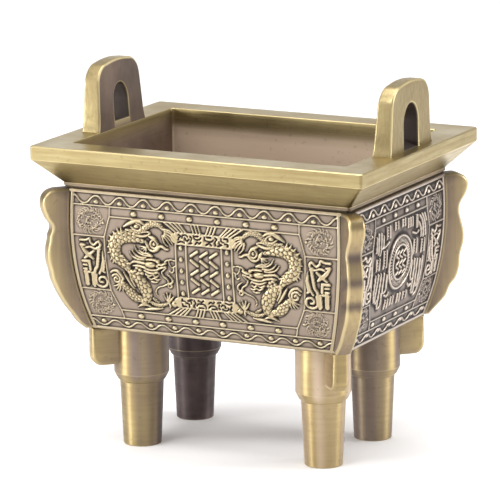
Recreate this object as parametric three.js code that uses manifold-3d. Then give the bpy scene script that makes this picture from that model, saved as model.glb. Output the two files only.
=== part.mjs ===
// A small square ding: a tapering vessel on four round legs, with two upright ears,
// four scalloped corner flanges and cast relief on its walls.
// Millimetres, +Z up. The origin is on the ground, midway between the feet.
import * as THREE from 'three';
import { mergeVertices } from 'three/addons/utils/BufferGeometryUtils.js';
import Module from 'manifold-3d';

const wasm = await Module();
wasm.setup();

// Rim and mouth
const rimLength = 130;
const rimWidth = 99;
const rimBand = 11.2; // flat top, from the outer edge to the mouth
const rimEdge = 0.6; // worn top edge
const fasciaHeight = 5;
const bevelHeight = 8.9;
const ledgeInset = 8.6; // inward from the rim's outer face
const ledgeHeight = 1.2;
const grooveHeight = 0.7;
const grooveDepth = 0.7;
const cornerChamfer = 0.8;

// Body
const bodyInset = 8.3; // top of the body, inward from the rim's outer face
const bodyHeight = 51.6;
const bodyTaper = 5.6; // how far each wall has come in at the underside
const taperPower = 2.5;
const bodySwell = 3; // outward swell of the wall's profile
const profileSteps = 5;
const wallThickness = 3.2;
const floorThickness = 3.2;

// Ears
const earHeight = 24.5;
const earBaseWidth = 36;
const earWidth = 33.6; // above the flared foot
const earTopWidth = 31.6; // where the top corners begin
const earFlareHeight = 6;
const earCornerRadius = 7.5;
const earCrown = 0.7; // rise of the top edge between its corners
const earBaseThickness = 7.4;
const earTopThickness = 5.5;
const earLean = 1.7; // outward lean of the inner face
const slotWidth = 11.8;
const slotHeight = 16.6; // from the rim to the top of the arch
const slotArch = 7.4; // height of the arch alone
const slotSill = 2.6; // rise of the slot's bottom at the inner face

// Corner flanges
const flangeThickness = 6.1;
const flangeRoot = 1.6; // depth of the flange's root in the wall
const flangeReach = 7.7; // furthest reach beyond the body's corner

// Legs
const legHeight = 44.6;
const legInset = 14.8; // leg axis, inward from the body's lower edges
const legRadius = 10;
const ankleHeight = 23.5; // top of the narrow lower leg
const ankleRadius = 7.95;
const footRadius = 6.85;
const shoulderHeight = 3.4; // rounded step between upper and lower leg
const shoulderRadius = 8.7;
const legSides = 14;
const tongueReach = 19.2; // from the leg's axis to the tongue's outer edge
const tongueHeight = 14.4;
const tongueThickness = 6;
const tongueRadius = 4;

// Relief
const reliefSink = 0.4; // how deep each raised form is rooted in the wall
const lineWidth = 0.75;
const lineHeight = 0.5;
const borderWidth = 1.25;
const lineGap = 0.22; // between lines that meet
const figureHeight = 1.1;
const beadHeight = 0.7;

// Rows of the relief, down from the body's top
const waveCrestDrop = 1.75;
const waveTroughDrop = 4.6;
const waveLineDrop = 5.35;
const beadRowDrop = 7.3;
const beadLineDrop = 8.95;
const upperCrossDrop = 16.5;
const lowerCrossDrop = 36.1;

// Rows of the relief, up from the body's underside
const lowTroughRise = 1.8;
const lowCrestRise = 4.05;
const lowWaveLineRise = 5.1;
const lowBeadRowRise = 6.5;
const lowBeadLineRise = 8.4;

// Columns of the relief, inward from the flanges' faces
const topColumnWidth = 15.4;
const upperColumnWidth = 13.2;
const lowerColumnWidth = 12.6;
const bottomColumnWidth = 14.4;
const squareBossRadius = 3.7;
const wavePitch = 9.5;
const longBeadPitch = 11;
const shortBeadPitch = 9.8;

// Tablet in the middle of the long walls
const tabletWidth = 22.2;
const tabletInnerWidth = 14;
const tabletTopDrop = 12.3;
const tabletBottomRise = 11.6;
const tabletBandHeight = 3.8;

// Dragons beside the tablet
const dragonHeight = 32;
const dragonOffset = 25; // from the tablet's middle line
const dragonRise = 26; // centre, up from the body's underside

// Roundel in the middle of the short walls
const medallionRadius = 10.1;
const medallionInnerRadius = 6.3;
const medallionRise = 26;

const levels = {
  underside: legHeight,
  bodyTop: legHeight + bodyHeight,
};
levels.ledgeBottom = levels.bodyTop + grooveHeight;
levels.bevelBottom = levels.ledgeBottom + ledgeHeight;
levels.fasciaBottom = levels.bevelBottom + bevelHeight;
levels.rim = levels.fasciaBottom + fasciaHeight;
levels.floor = levels.underside + floorThickness;

const bodyHalfLength = rimLength / 2 - bodyInset;
const bodyHalfWidth = rimWidth / 2 - bodyInset;

// How far a wall stands in from the body's top edge at height z
function inset(z) {
  const down = THREE.MathUtils.clamp((levels.bodyTop - z) / bodyHeight, 0, 1);
  return bodyTaper * down ** taperPower - bodySwell * down * (1 - down);
}

// The same on the facets between the profile's steps, where the relief is rooted
function facetInset(z) {
  const step = bodyHeight / profileSteps;
  const below = Math.min(Math.floor((z - levels.underside) / step), profileSteps - 1);
  const low = levels.underside + step * Math.max(below, 0);
  return THREE.MathUtils.lerp(inset(low), inset(low + step), (z - low) / step);
}

// Solids

function signedVolume(positions, index) {
  const a = new THREE.Vector3();
  const b = new THREE.Vector3();
  const c = new THREE.Vector3();
  let volume = 0;
  for (let i = 0; i < index.length; i += 3) {
    a.fromArray(positions, index[i] * 3);
    b.fromArray(positions, index[i + 1] * 3);
    c.fromArray(positions, index[i + 2] * 3);
    volume += a.dot(b.cross(c)) / 6;
  }
  return volume;
}

// A closed indexed mesh made into a solid with its faces pointing out
function solidFrom(positions, index) {
  const triangles = [...index];
  if (signedVolume(positions, triangles) < 0) triangles.reverse();
  return new wasm.Manifold(new wasm.Mesh({
    numProp: 3,
    vertProperties: Float32Array.from(positions),
    triVerts: Uint32Array.from(triangles),
  }));
}

// Solid of a three.js geometry placed by a matrix, without the flat triangles at a lathe's poles
function solidFromGeometry(geometry, matrix = new THREE.Matrix4()) {
  const bare = geometry.clone().applyMatrix4(matrix);
  bare.deleteAttribute('normal');
  bare.deleteAttribute('uv');
  const merged = mergeVertices(bare, 1e-4);
  const source = merged.index.array;
  const index = [];
  for (let i = 0; i < source.length; i += 3) {
    const [a, b, c] = source.slice(i, i + 3);
    if (a !== b && b !== c && c !== a) index.push(a, b, c);
  }
  return solidFrom(merged.attributes.position.array, index);
}

// Outline in reach and height, made a plate of a thickness that stands on a line through a corner
function standingPlate(outline, thickness, corner, outward) {
  const geometry = new THREE.ExtrudeGeometry(new THREE.Shape(outline), {
    depth: thickness,
    bevelEnabled: false,
  });
  const up = new THREE.Vector3(0, 0, 1);
  const across = outward.clone().cross(up);
  const matrix = new THREE.Matrix4().makeBasis(outward, up, across);
  matrix.setPosition(corner.clone().addScaledVector(across, -thickness / 2));
  return solidFromGeometry(geometry, matrix);
}

// Skin between rings of equally many points, closed by a flat face at each end
function loft(rings) {
  const sides = rings[0].length;
  const positions = rings.flat().flatMap((point) => point.toArray());
  const index = [];
  for (let ring = 0; ring + 1 < rings.length; ring++) {
    for (let side = 0; side < sides; side++) {
      const next = (side + 1) % sides;
      const a = ring * sides + side;
      const b = ring * sides + next;
      index.push(a, b, b + sides, a, b + sides, a + sides);
    }
  }
  const last = (rings.length - 1) * sides;
  for (let side = 1; side + 1 < sides; side++) {
    index.push(0, side + 1, side);
    index.push(last, last + side, last + side + 1);
  }
  return solidFrom(positions, index);
}

// Joins solids pair by pair, so that the work stays small
function join(solids) {
  let queue = solids;
  while (queue.length > 1) {
    const joined = [];
    for (let i = 0; i < queue.length; i += 2) {
      joined.push(i + 1 < queue.length ? queue[i].add(queue[i + 1]) : queue[i]);
    }
    queue = joined;
  }
  return queue[0];
}

// Vessel walls

// Rectangle of half sizes halfX and halfY at height z, with cut corners
function rectangle(halfX, halfY, z, chamfer) {
  const corners = [[1, -1], [1, 1], [-1, 1], [-1, -1]];
  return corners.flatMap(([sx, sy]) => {
    const alongX = new THREE.Vector3(sx * (halfX - chamfer), sy * halfY, z);
    const alongY = new THREE.Vector3(sx * halfX, sy * (halfY - chamfer), z);
    return sx === sy ? [alongY, alongX] : [alongX, alongY];
  });
}

function bodyHeights(low, high = levels.bodyTop) {
  return Array.from({ length: profileSteps + 1 }, (_, i) => low + (high - low) * i / profileSteps);
}

function makeWalls() {
  const outer = (inward, z) => rectangle(rimLength / 2 - inward, rimWidth / 2 - inward, z, cornerChamfer);
  const rings = bodyHeights(levels.underside).map((z) => outer(bodyInset + inset(z), z));
  const grooveInset = ledgeInset + grooveDepth;
  rings.push(outer(grooveInset, levels.bodyTop + grooveHeight * 0.4));
  rings.push(outer(grooveInset, levels.ledgeBottom));
  rings.push(outer(ledgeInset, levels.ledgeBottom + grooveHeight * 0.2));
  rings.push(outer(ledgeInset, levels.bevelBottom));
  rings.push(outer(0, levels.fasciaBottom));
  rings.push(outer(0, levels.rim - rimEdge));
  rings.push(outer(rimEdge, levels.rim));
  const inner = (z) => {
    const inward = Math.max(rimBand, bodyInset + inset(z) + wallThickness);
    return outer(inward, z);
  };
  rings.push(outer(rimBand, levels.rim));
  rings.push(...bodyHeights(levels.floor).reverse().map(inner));
  return loft(rings);
}

// Ears

// Half width of an ear at a height above the rim
function earHalfWidth(height) {
  const straight = earHeight - earCornerRadius;
  if (height < earFlareHeight) {
    const flare = (1 - Math.max(height, 0) / earFlareHeight) ** 2;
    return (earWidth + (earBaseWidth - earWidth) * flare) / 2;
  }
  const rise = (height - earFlareHeight) / (straight - earFlareHeight);
  return THREE.MathUtils.lerp(earWidth, earTopWidth, rise) / 2;
}

// Right half of an ear's outline, from the rim up to the middle of its top
function earOutline() {
  const points = [[earHalfWidth(0), 0], [earHalfWidth(2), 2], [earHalfWidth(4), 4]];
  points.push([earHalfWidth(earFlareHeight), earFlareHeight]);
  const cornerSteps = 5;
  for (let i = 0; i <= cornerSteps; i++) {
    const turn = Math.PI / 2 * i / cornerSteps;
    const across = earTopWidth / 2 - earCornerRadius * (1 - Math.cos(turn));
    const up = earHeight - earCrown - earCornerRadius * (1 - Math.sin(turn));
    points.push([across, up]);
  }
  points.push([0, earHeight]);
  return points;
}

function makeEar(side) {
  const half = earOutline();
  const mirrored = half.slice(0, -1).reverse().map(([across, up]) => [-across, up]);
  const outline = [...half, ...mirrored];
  const root = rimEdge + 1;
  outline.push([-earHalfWidth(0), -root]);
  outline.unshift([earHalfWidth(0), -root]);
  const mouth = rimLength / 2 - rimBand;
  const face = (thickness, lean) => outline.map(([across, up]) => {
    const rise = Math.max(up, 0) / earHeight;
    const out = mouth + earLean * rise * lean + thickness(rise);
    return new THREE.Vector3(side * out, across, levels.rim + up);
  });
  const inner = face(() => 0, 1);
  const outer = face((rise) => {
    const foot = Math.max(0, 1 - rise * earHeight / earFlareHeight) ** 2;
    return THREE.MathUtils.lerp(earTopThickness + earLean, earBaseThickness, foot);
  }, 0);
  return plate([inner, outer]);
}

// Arched slot right through an ear, with a sill that rises towards the mouth
function makeSlot(side) {
  const steps = 8;
  const outline = [[slotWidth / 2, 0]];
  for (let i = 0; i <= steps; i++) {
    const turn = Math.PI * i / steps;
    const up = slotHeight - slotArch + slotArch * Math.sin(turn);
    outline.push([slotWidth / 2 * Math.cos(turn), up]);
  }
  outline.push([-slotWidth / 2, 0]);
  const mouth = rimLength / 2 - rimBand;
  const clear = 2;
  const section = (out, sill) => outline.map(([across, up]) => (
    new THREE.Vector3(side * out, across, levels.rim + Math.max(up, sill))
  ));
  const sillSlope = slotSill / earBaseThickness;
  const rings = [
    section(mouth - clear, slotSill + clear * sillSlope),
    section(mouth + earBaseThickness, 0),
    section(mouth + earBaseThickness + clear, 0),
  ];
  return loft(rings);
}

// Solid between two faces of the same outline, which differ only in X
function plate([first, second]) {
  const flat = first.map((point) => new THREE.Vector2(point.y, point.z));
  const count = first.length;
  const index = [];
  for (const [a, b, c] of THREE.ShapeUtils.triangulateShape(flat, [])) {
    index.push(a, b, c);
    index.push(count + a, count + c, count + b);
  }
  for (let i = 0; i < count; i++) {
    const next = (i + 1) % count;
    index.push(i, count + i, count + next, i, count + next, next);
  }
  return solidFrom([...first, ...second].flatMap((point) => point.toArray()), index);
}

// Corner flanges

// Scalloped outer edge: share of the body's height from the top, share of the furthest reach
const flangeEdge = [
  [0, 0.44], [0.03, 0.84], [0.095, 1], [0.165, 0.89], [0.235, 0.61], [0.272, 0.57],
  [0.333, 0.74], [0.41, 0.91], [0.488, 1], [0.577, 0.92], [0.643, 0.97], [0.72, 0.95],
  [0.798, 0.75], [0.878, 0.64], [0.95, 0.3], [1, 0.02],
];

function makeFlange(sx, sy) {
  const cornerReach = (z) => -Math.SQRT2 * inset(z);
  const outline = flangeEdge.map(([down, reach]) => {
    const z = levels.bodyTop - down * bodyHeight;
    return new THREE.Vector2(cornerReach(z) + reach * flangeReach, z);
  });
  for (const z of bodyHeights(levels.underside)) {
    outline.push(new THREE.Vector2(cornerReach(z) - flangeRoot, z));
  }
  const corner = new THREE.Vector3(sx * bodyHalfLength, sy * bodyHalfWidth, 0);
  return standingPlate(outline, flangeThickness, corner, new THREE.Vector3(sx, sy, 0).normalize());
}

// Relief

// A wall's own directions: along it, up, and out of it
function wallFrame(quarterTurns) {
  const cos = [1, 0, -1, 0][quarterTurns];
  const sin = [0, 1, 0, -1][quarterTurns];
  const long = quarterTurns % 2 === 0;
  const depth = long ? bodyHalfWidth : bodyHalfLength;
  const span = long ? bodyHalfLength : bodyHalfWidth;
  const faceInset = flangeThickness / 2 * Math.SQRT2;
  return {
    at: (along, z, raise) => {
      const out = depth - facetInset(z) + raise;
      return new THREE.Vector3(along * cos + out * sin, along * sin - out * cos, z);
    },
    edge: (z) => span - inset(z) - faceInset,
  };
}

// Direction of a line's course at one of its points, in the wall's plane
function course(points, i) {
  const before = points[Math.max(i - 1, 0)];
  const after = points[Math.min(i + 1, points.length - 1)];
  return new THREE.Vector2(after[0] - before[0], after[1] - before[1]).normalize();
}

// Raised line of triangular section through points; its width is a number or a function of the
// share of its length
function ridge(wall, points, width = lineWidth, height = lineHeight) {
  const rings = points.map(([along, z], i) => {
    const share = i / (points.length - 1);
    const half = (typeof width === 'function' ? width(share) : width) / 2;
    const direction = course(points, i);
    const offset = (k, up) => wall.at(along - direction.y * half * k, z + direction.x * half * k, up);
    return [offset(-1, -reliefSink), offset(1, -reliefSink), offset(0, height)];
  });
  return loft(rings);
}

// Low pyramid with a few sides, for a round boss
function bead(wall, along, z, radius = 1, height = beadHeight, stretch = 1.2, sides = 4) {
  const tip = wall.at(along, z, height);
  const points = Array.from({ length: sides }, (_, i) => {
    const turn = 2 * Math.PI * i / sides;
    return wall.at(along + Math.cos(turn) * radius * stretch, z + Math.sin(turn) * radius, -reliefSink);
  });
  const index = [];
  for (let i = 0; i < sides; i++) index.push(i, (i + 1) % sides, sides);
  for (let i = 1; i + 1 < sides; i++) index.push(0, i + 1, i);
  return solidFrom([...points, tip].flatMap((point) => point.toArray()), index);
}

// Smooth run of points through a few control points
function smooth(points, count) {
  const curve = new THREE.CatmullRomCurve3(points.map(([x, y]) => new THREE.Vector3(x, y, 0)));
  return curve.getPoints(count).map((point) => [point.x, point.y]);
}

const spread = (count, pitch) => Array.from({ length: count }, (_, i) => (i - (count - 1) / 2) * pitch);

const columnStations = () => {
  const top = levels.bodyTop;
  return {
    waveLine: top - waveLineDrop,
    beadLine: top - beadLineDrop,
    upperCross: top - upperCrossDrop,
    lowerCross: top - lowerCrossDrop,
    lowBeadLine: legHeight + lowBeadLineRise,
    lowWaveLine: legHeight + lowWaveLineRise,
  };
};

// Where the line between the field and a side column runs at height z
function columnLine(wall, z) {
  const rows = columnStations();
  const stations = [
    [rows.waveLine, topColumnWidth],
    [rows.beadLine, topColumnWidth],
    [rows.upperCross, upperColumnWidth],
    [rows.lowerCross, lowerColumnWidth],
    [rows.lowBeadLine, bottomColumnWidth],
    [rows.lowWaveLine, bottomColumnWidth],
  ];
  for (let i = 0; i + 1 < stations.length; i++) {
    const [high, highWidth] = stations[i];
    const [low, lowWidth] = stations[i + 1];
    if (z <= high && z >= low) {
      return wall.edge(z) - THREE.MathUtils.lerp(highWidth, lowWidth, (high - z) / (high - low));
    }
  }
  return wall.edge(z) - topColumnWidth;
}

function frameLines(wall) {
  const rows = columnStations();
  const level = (z, half) => ridge(wall, [[-half, z], [half, z]]);
  const lines = [];
  const half = borderWidth / 2;
  const high = levels.bodyTop - half;
  const low = levels.underside + half;
  for (const z of [high, low]) {
    lines.push(ridge(wall, [[-wall.edge(z) - 1, z], [wall.edge(z) + 1, z]], borderWidth));
  }
  const rimLine = (z) => wall.edge(z) - borderWidth / 4;
  const toBorder = (z) => rimLine(z) - half - lineGap;
  const beside = lineWidth / 2 + lineGap;
  for (const z of [rows.waveLine, rows.lowWaveLine]) lines.push(level(z, toBorder(z)));
  for (const z of [rows.beadLine, rows.lowBeadLine]) lines.push(level(z, columnLine(wall, z) - beside));
  const between = [rows.beadLine, rows.upperCross, rows.lowerCross, rows.lowBeadLine];
  const heights = [rows.waveLine - beside, ...between, rows.lowWaveLine + beside];
  for (const side of [-1, 1]) {
    const border = bodyHeights(low + half + lineGap, high - half - lineGap);
    lines.push(ridge(wall, border.map((z) => [side * rimLine(z), z]), borderWidth));
    lines.push(ridge(wall, heights.map((z) => [side * columnLine(wall, z), z])));
    for (const z of [rows.upperCross, rows.lowerCross]) {
      lines.push(ridge(wall, [[side * (columnLine(wall, z) + beside), z], [side * toBorder(z), z]]));
    }
  }
  return lines;
}

// Wave line whose bows are round and whose feet are pointed
function waves(wall, bow, foot) {
  const room = Math.min(wall.edge(bow), wall.edge(foot));
  const count = Math.floor((2 * room + wavePitch * 0.2) / wavePitch);
  const middles = spread(count, wavePitch);
  const flat = wavePitch * 0.14;
  const points = middles.flatMap((along) => (
    [[along - wavePitch / 2, foot], [along - flat, bow], [along + flat, bow]]
  ));
  points.push([middles[count - 1] + wavePitch / 2, foot]);
  return ridge(wall, points);
}

function beadRow(wall, z, count, pitch) {
  return spread(count, pitch).map((along) => bead(wall, along, z));
}

// Hooked strokes of the side columns, as shares of the box between the cross lines
const fretStrokes = [
  [[0.04, 0.93], [0.34, 0.84], [0.86, 0.93]],
  [[0.06, 0.76], [0.42, 0.64], [0.08, 0.5]],
  [[0.74, 0.78], [0.66, 0.4]],
  [[0.16, 0.4], [0.3, 0.03]],
  [[0.6, 0.32], [0.94, 0.22], [0.7, 0.04]],
];

function fret(wall, side) {
  const rows = columnStations();
  const high = rows.upperCross - 1.6;
  const low = rows.lowerCross + 1.2;
  const boxWidth = 8.6;
  const place = ([x, y]) => {
    const z = low + (high - low) * y;
    const middle = (columnLine(wall, z) + wall.edge(z)) / 2;
    return [side * (middle - boxWidth * (x - 0.5)), z];
  };
  return fretStrokes.map((stroke) => ridge(wall, stroke.map(place), 1.3, 0.8));
}

// The hooked strokes of both side columns and a round boss in each square above and below them
function sideColumns(wall) {
  const rows = columnStations();
  const solids = [];
  for (const side of [-1, 1]) {
    solids.push(...fret(wall, side));
    for (const [high, low] of [[rows.waveLine, rows.upperCross], [rows.lowerCross, rows.lowWaveLine]]) {
      const z = (high + low) / 2;
      const middle = side * (columnLine(wall, z) + wall.edge(z)) / 2;
      solids.push(bead(wall, middle, z, squareBossRadius, beadHeight, 1.15, 7));
    }
  }
  return solids;
}

// Shallow slanting strokes in rows, which stand for an inscription
function strokeRows(wall, centre, width, height, rows, columns) {
  const solids = [];
  for (let row = 0; row < rows; row++) {
    const z = centre + height * ((row + 0.5) / rows - 0.5);
    const lean = row % 2 === 0 ? 1 : -1;
    for (let column = 0; column < columns; column++) {
      const along = width * ((column + 0.5) / columns - 0.5);
      const reach = width / columns * 0.33;
      const rise = height / rows * 0.28 * lean;
      solids.push(ridge(wall, [[along - reach, z - rise], [along + reach, z + rise]], 1.3, 0.8));
    }
  }
  return solids;
}

// Rays that fan out from the tablet to the bead rows
function rays(wall, near, far) {
  const solids = [];
  const half = tabletWidth / 2;
  for (const side of [-1, 1]) {
    for (const [foot, head] of [[0.2, 0.26], [0.78, 1.1]]) {
      solids.push(ridge(wall, [[side * half * foot, near], [side * half * head, far]], 0.8));
    }
  }
  return solids;
}

function tablet(wall) {
  const high = levels.bodyTop - tabletTopDrop;
  const low = levels.underside + tabletBottomRise;
  const innerHigh = high - tabletBandHeight;
  const innerLow = low + tabletBandHeight;
  const solids = [];
  const middle = (innerHigh + innerLow) / 2;
  const beside = lineWidth / 2 + lineGap;
  for (const side of [-1, 1]) {
    for (const half of [tabletWidth / 2, tabletInnerWidth / 2]) {
      const heights = [innerHigh - beside, middle, innerLow + beside];
      solids.push(ridge(wall, heights.map((z) => [side * half, z])));
    }
    const beads = 5;
    for (const rise of spread(beads, (innerHigh - innerLow) / beads)) {
      const along = side * (tabletWidth + tabletInnerWidth) / 4;
      solids.push(bead(wall, along, middle + rise, 1, beadHeight, 0.85));
    }
  }
  for (const [top, bottom] of [[high, innerHigh], [innerLow, low]]) {
    for (const z of [top, bottom]) {
      solids.push(ridge(wall, [[-tabletWidth / 2, z], [tabletWidth / 2, z]]));
    }
    const centre = (top + bottom) / 2;
    const scroll = spread(4, tabletWidth / 4.4).map((along, i) => [along, centre + (i % 2 ? 0.6 : -0.6)]);
    solids.push(ridge(wall, scroll, 1.2, 0.7));
  }
  solids.push(...strokeRows(wall, middle, tabletInnerWidth - 2.4, innerHigh - innerLow - 2.2, 4, 2));
  solids.push(...rays(wall, high + 2 * beside, levels.bodyTop - beadLineDrop - beside));
  solids.push(...rays(wall, low - 2 * beside, levels.underside + lowBeadLineRise + beside));
  return solids;
}

// Main forms of a dragon that faces the tablet, in shares of its height from its centre.
// Each is a course, its width, its height and its number of steps.
const bodySwellShare = (share) => dragonHeight * (0.085 + 0.065 * Math.sin(Math.PI * share) ** 0.7);
const dragonForms = [
  // Scaled body, from the shoulder over the back and down to the lower coil
  [[[0.01, 0.245], [-0.11, 0.285], [-0.23, 0.27], [-0.33, 0.19], [-0.33, 0.09], [-0.2, -0.03], [-0.07, -0.12],
    [0.02, -0.24], [0.03, -0.37]], bodySwellShare, figureHeight, 8],
  // Hind leg and the foot at the bottom
  [[[-0.24, -0.25], [-0.11, -0.4]], (share) => 2.4 + 2.4 * share, figureHeight, 2],
  [[[-0.07, -0.5], [0.08, -0.495], [0.27, -0.435]], 2.2, 0.9, 2],
  // Neck that arches over the top, and its tuft
  [[[-0.06, 0.39], [0.09, 0.455], [0.21, 0.447], [0.29, 0.41]], 2.2, 0.9, 3],
  [[[0.32, 0.37], [0.41, 0.29]], 1.4, 0.8, 1],
  // Fore claw
  [[[0.215, 0.21], [0.32, 0.205]], 1.4, 0.8, 1],
  // Head, jaw, beard and horns
  [[[0.0, 0.025], [0.1, 0.03], [0.27, -0.01]], (share) => 4 - 2.2 * share, 1.3, 2],
  [[[0.05, -0.085], [0.2, -0.1]], 2, 0.9, 1],
  [[[0.06, 0.11], [-0.08, 0.18]], 1, 0.8, 1],
];
// Round forms: place, radius and number of sides
const dragonBosses = [
  [[0.135, 0.25], 1.9, 6], [[0.36, -0.41], 1.5, 5], [[-0.32, 0.36], 1.4, 4], [[-0.2, 0.43], 1.4, 4],
];

function dragon(wall, side) {
  const centre = levels.underside + dragonRise;
  const place = ([x, y]) => [side * (dragonOffset - x * dragonHeight), centre + y * dragonHeight];
  const solids = dragonForms.map(([points, width, height, steps]) => (
    ridge(wall, smooth(points.map(place), steps), width, height)
  ));
  for (const [spot, radius, sides] of dragonBosses) {
    solids.push(bead(wall, ...place(spot), radius, 0.9, 1, sides));
  }
  // Spiral of cloud behind the haunch
  const steps = 4;
  const spiral = Array.from({ length: steps + 1 }, (_, i) => {
    const turn = Math.PI * (0.3 + 1.3 * i / steps);
    const reach = 0.06 * (1 - 0.5 * i / steps);
    return place([-0.31 + Math.cos(turn) * reach, -0.165 + Math.sin(turn) * reach]);
  });
  solids.push(ridge(wall, spiral, 1.2, 0.9));
  return solids;
}

// Raised ring on a wall
function hoop(wall, centre, radius, width, height) {
  const sides = 11;
  const points = [];
  const index = [];
  for (let i = 0; i < sides; i++) {
    const turn = 2 * Math.PI * i / sides;
    const at = (reach, raise) => wall.at(Math.cos(turn) * reach, centre + Math.sin(turn) * reach, raise);
    points.push(at(radius, -reliefSink), at(radius - width / 2, height), at(radius - width, -reliefSink));
    for (let k = 0; k < 3; k++) {
      const a = i * 3 + k;
      const b = i * 3 + (k + 1) % 3;
      const c = ((i + 1) % sides) * 3 + (k + 1) % 3;
      const d = ((i + 1) % sides) * 3 + k;
      index.push(a, b, c, a, c, d);
    }
  }
  return solidFrom(points.flatMap((point) => point.toArray()), index);
}

// Roundel of the short walls, with upright bars around it
function medallion(wall) {
  const centre = levels.underside + medallionRise;
  const solids = [
    hoop(wall, centre, medallionRadius, 1.2, 0.8),
    hoop(wall, centre, medallionInnerRadius, 1.2, 0.8),
  ];
  solids.push(...strokeRows(wall, centre, 7.2, 8, 3, 2));
  const uprights = [[4.2, 11.6, 15.2], [11, 9, 15.2], [16.2, 3, 14.4]];
  for (const side of [-1, 1]) {
    for (const vertical of [-1, 1]) {
      for (const [along, near, far] of uprights) {
        const ends = [near, far].map((rise) => [side * along, centre + vertical * rise]);
        solids.push(ridge(wall, ends, 1.6, 0.8));
      }
    }
    solids.push(ridge(wall, [[side * 12.8, centre - 5], [side * 12.8, centre + 5]], 1.6, 0.8));
  }
  return solids;
}

function makeRelief(quarterTurns) {
  const wall = wallFrame(quarterTurns);
  const long = quarterTurns % 2 === 0;
  const top = levels.bodyTop;
  const low = levels.underside;
  const beadCount = long ? 6 : 4;
  const beadPitch = long ? longBeadPitch : shortBeadPitch;
  return [
    ...frameLines(wall),
    waves(wall, top - waveCrestDrop, top - waveTroughDrop),
    waves(wall, low + lowTroughRise, low + lowCrestRise),
    ...beadRow(wall, top - beadRowDrop, beadCount, beadPitch),
    ...beadRow(wall, low + lowBeadRowRise, beadCount, beadPitch),
    ...sideColumns(wall),
    ...(long ? [...tablet(wall), ...dragon(wall, -1), ...dragon(wall, 1)] : medallion(wall)),
  ];
}

// Pieces

function meshFrom(solid, name, color) {
  const { vertProperties, triVerts } = solid.getMesh();
  const geometry = new THREE.BufferGeometry();
  geometry.setAttribute('position', new THREE.BufferAttribute(vertProperties, 3));
  geometry.setIndex(new THREE.BufferAttribute(triVerts, 1));
  geometry.computeVertexNormals();
  const material = new THREE.MeshStandardMaterial({ color, roughness: 0.4, metalness: 0.9 });
  const mesh = new THREE.Mesh(geometry, material);
  mesh.name = name;
  return mesh;
}

function makeVessel() {
  const solids = [makeWalls()];
  for (const sx of [-1, 1]) {
    solids.push(makeEar(sx).subtract(makeSlot(sx)));
    for (const sy of [-1, 1]) solids.push(makeFlange(sx, sy));
  }
  for (const quarterTurns of [0, 1, 2, 3]) solids.push(join(makeRelief(quarterTurns)));
  return join(solids);
}

// A leg about its own axis, with the tongue that backs the flange's foot
function makeLeg(sx, sy) {
  const profile = [
    [0, 0],
    [footRadius, 0],
    [ankleRadius, ankleHeight],
    [shoulderRadius, ankleHeight + shoulderHeight * 0.25],
    [legRadius, ankleHeight + shoulderHeight],
    [legRadius, legHeight],
    [0, legHeight],
  ];
  const turned = new THREE.LatheGeometry(profile.map(([r, z]) => new THREE.Vector2(r, z)), legSides);
  const shaft = solidFromGeometry(turned, new THREE.Matrix4().makeRotationX(Math.PI / 2));
  const bottom = legHeight - tongueHeight;
  const outline = [new THREE.Vector2(0, legHeight), new THREE.Vector2(0, bottom)];
  const cornerSteps = 3;
  for (let i = 0; i <= cornerSteps; i++) {
    const turn = Math.PI / 2 * i / cornerSteps;
    const reach = tongueReach - tongueRadius * (1 - Math.sin(turn));
    outline.push(new THREE.Vector2(reach, bottom + tongueRadius * (1 - Math.cos(turn))));
  }
  outline.push(new THREE.Vector2(tongueReach, legHeight));
  const outward = new THREE.Vector3(sx, sy, 0).normalize();
  return shaft.add(standingPlate(outline, tongueThickness, new THREE.Vector3(), outward));
}

const ding = new THREE.Group();
ding.add(meshFrom(makeVessel(), 'vessel', 0xb39a6a));

const legX = bodyHalfLength - bodyTaper - legInset;
const legY = bodyHalfWidth - bodyTaper - legInset;
const legs = [
  ['leg_front_left', -1, -1],
  ['leg_front_right', 1, -1],
  ['leg_back_left', -1, 1],
  ['leg_back_right', 1, 1],
];
for (const [name, sx, sy] of legs) {
  const leg = meshFrom(makeLeg(sx, sy), name, 0x9c8458);
  leg.position.set(sx * legX, sy * legY, 0);
  ding.add(leg);
}

export default ding;
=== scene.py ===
"""Dressed model of a small square ding: cast brass walls with relief, ears, corner flanges and legs.

Sizes are in millimetres in the row frame and turned to metres when a mesh is made.
"""
import math
import bpy
import numpy as np
from mathutils import Matrix, Vector


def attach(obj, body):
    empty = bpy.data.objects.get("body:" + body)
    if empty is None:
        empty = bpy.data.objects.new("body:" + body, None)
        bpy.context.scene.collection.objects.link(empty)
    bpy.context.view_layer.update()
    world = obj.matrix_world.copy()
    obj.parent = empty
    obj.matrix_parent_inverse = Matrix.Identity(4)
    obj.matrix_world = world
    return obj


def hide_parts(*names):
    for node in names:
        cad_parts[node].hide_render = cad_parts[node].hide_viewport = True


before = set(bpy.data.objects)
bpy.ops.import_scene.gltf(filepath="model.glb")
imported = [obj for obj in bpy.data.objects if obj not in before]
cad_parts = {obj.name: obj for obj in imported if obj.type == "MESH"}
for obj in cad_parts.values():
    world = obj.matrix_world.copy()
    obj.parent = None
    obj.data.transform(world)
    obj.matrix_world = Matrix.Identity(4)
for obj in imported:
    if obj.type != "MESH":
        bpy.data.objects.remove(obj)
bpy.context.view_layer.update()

MM = 0.001
rng = np.random.default_rng(7)

# Heights
UNDERSIDE = 44.6
BODY_TOP = 96.2
LEDGE_BOTTOM = 96.9
BEVEL_BOTTOM = 98.1
FASCIA_BOTTOM = 107.0
RIM = 112.0
FLOOR = 47.8

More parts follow.
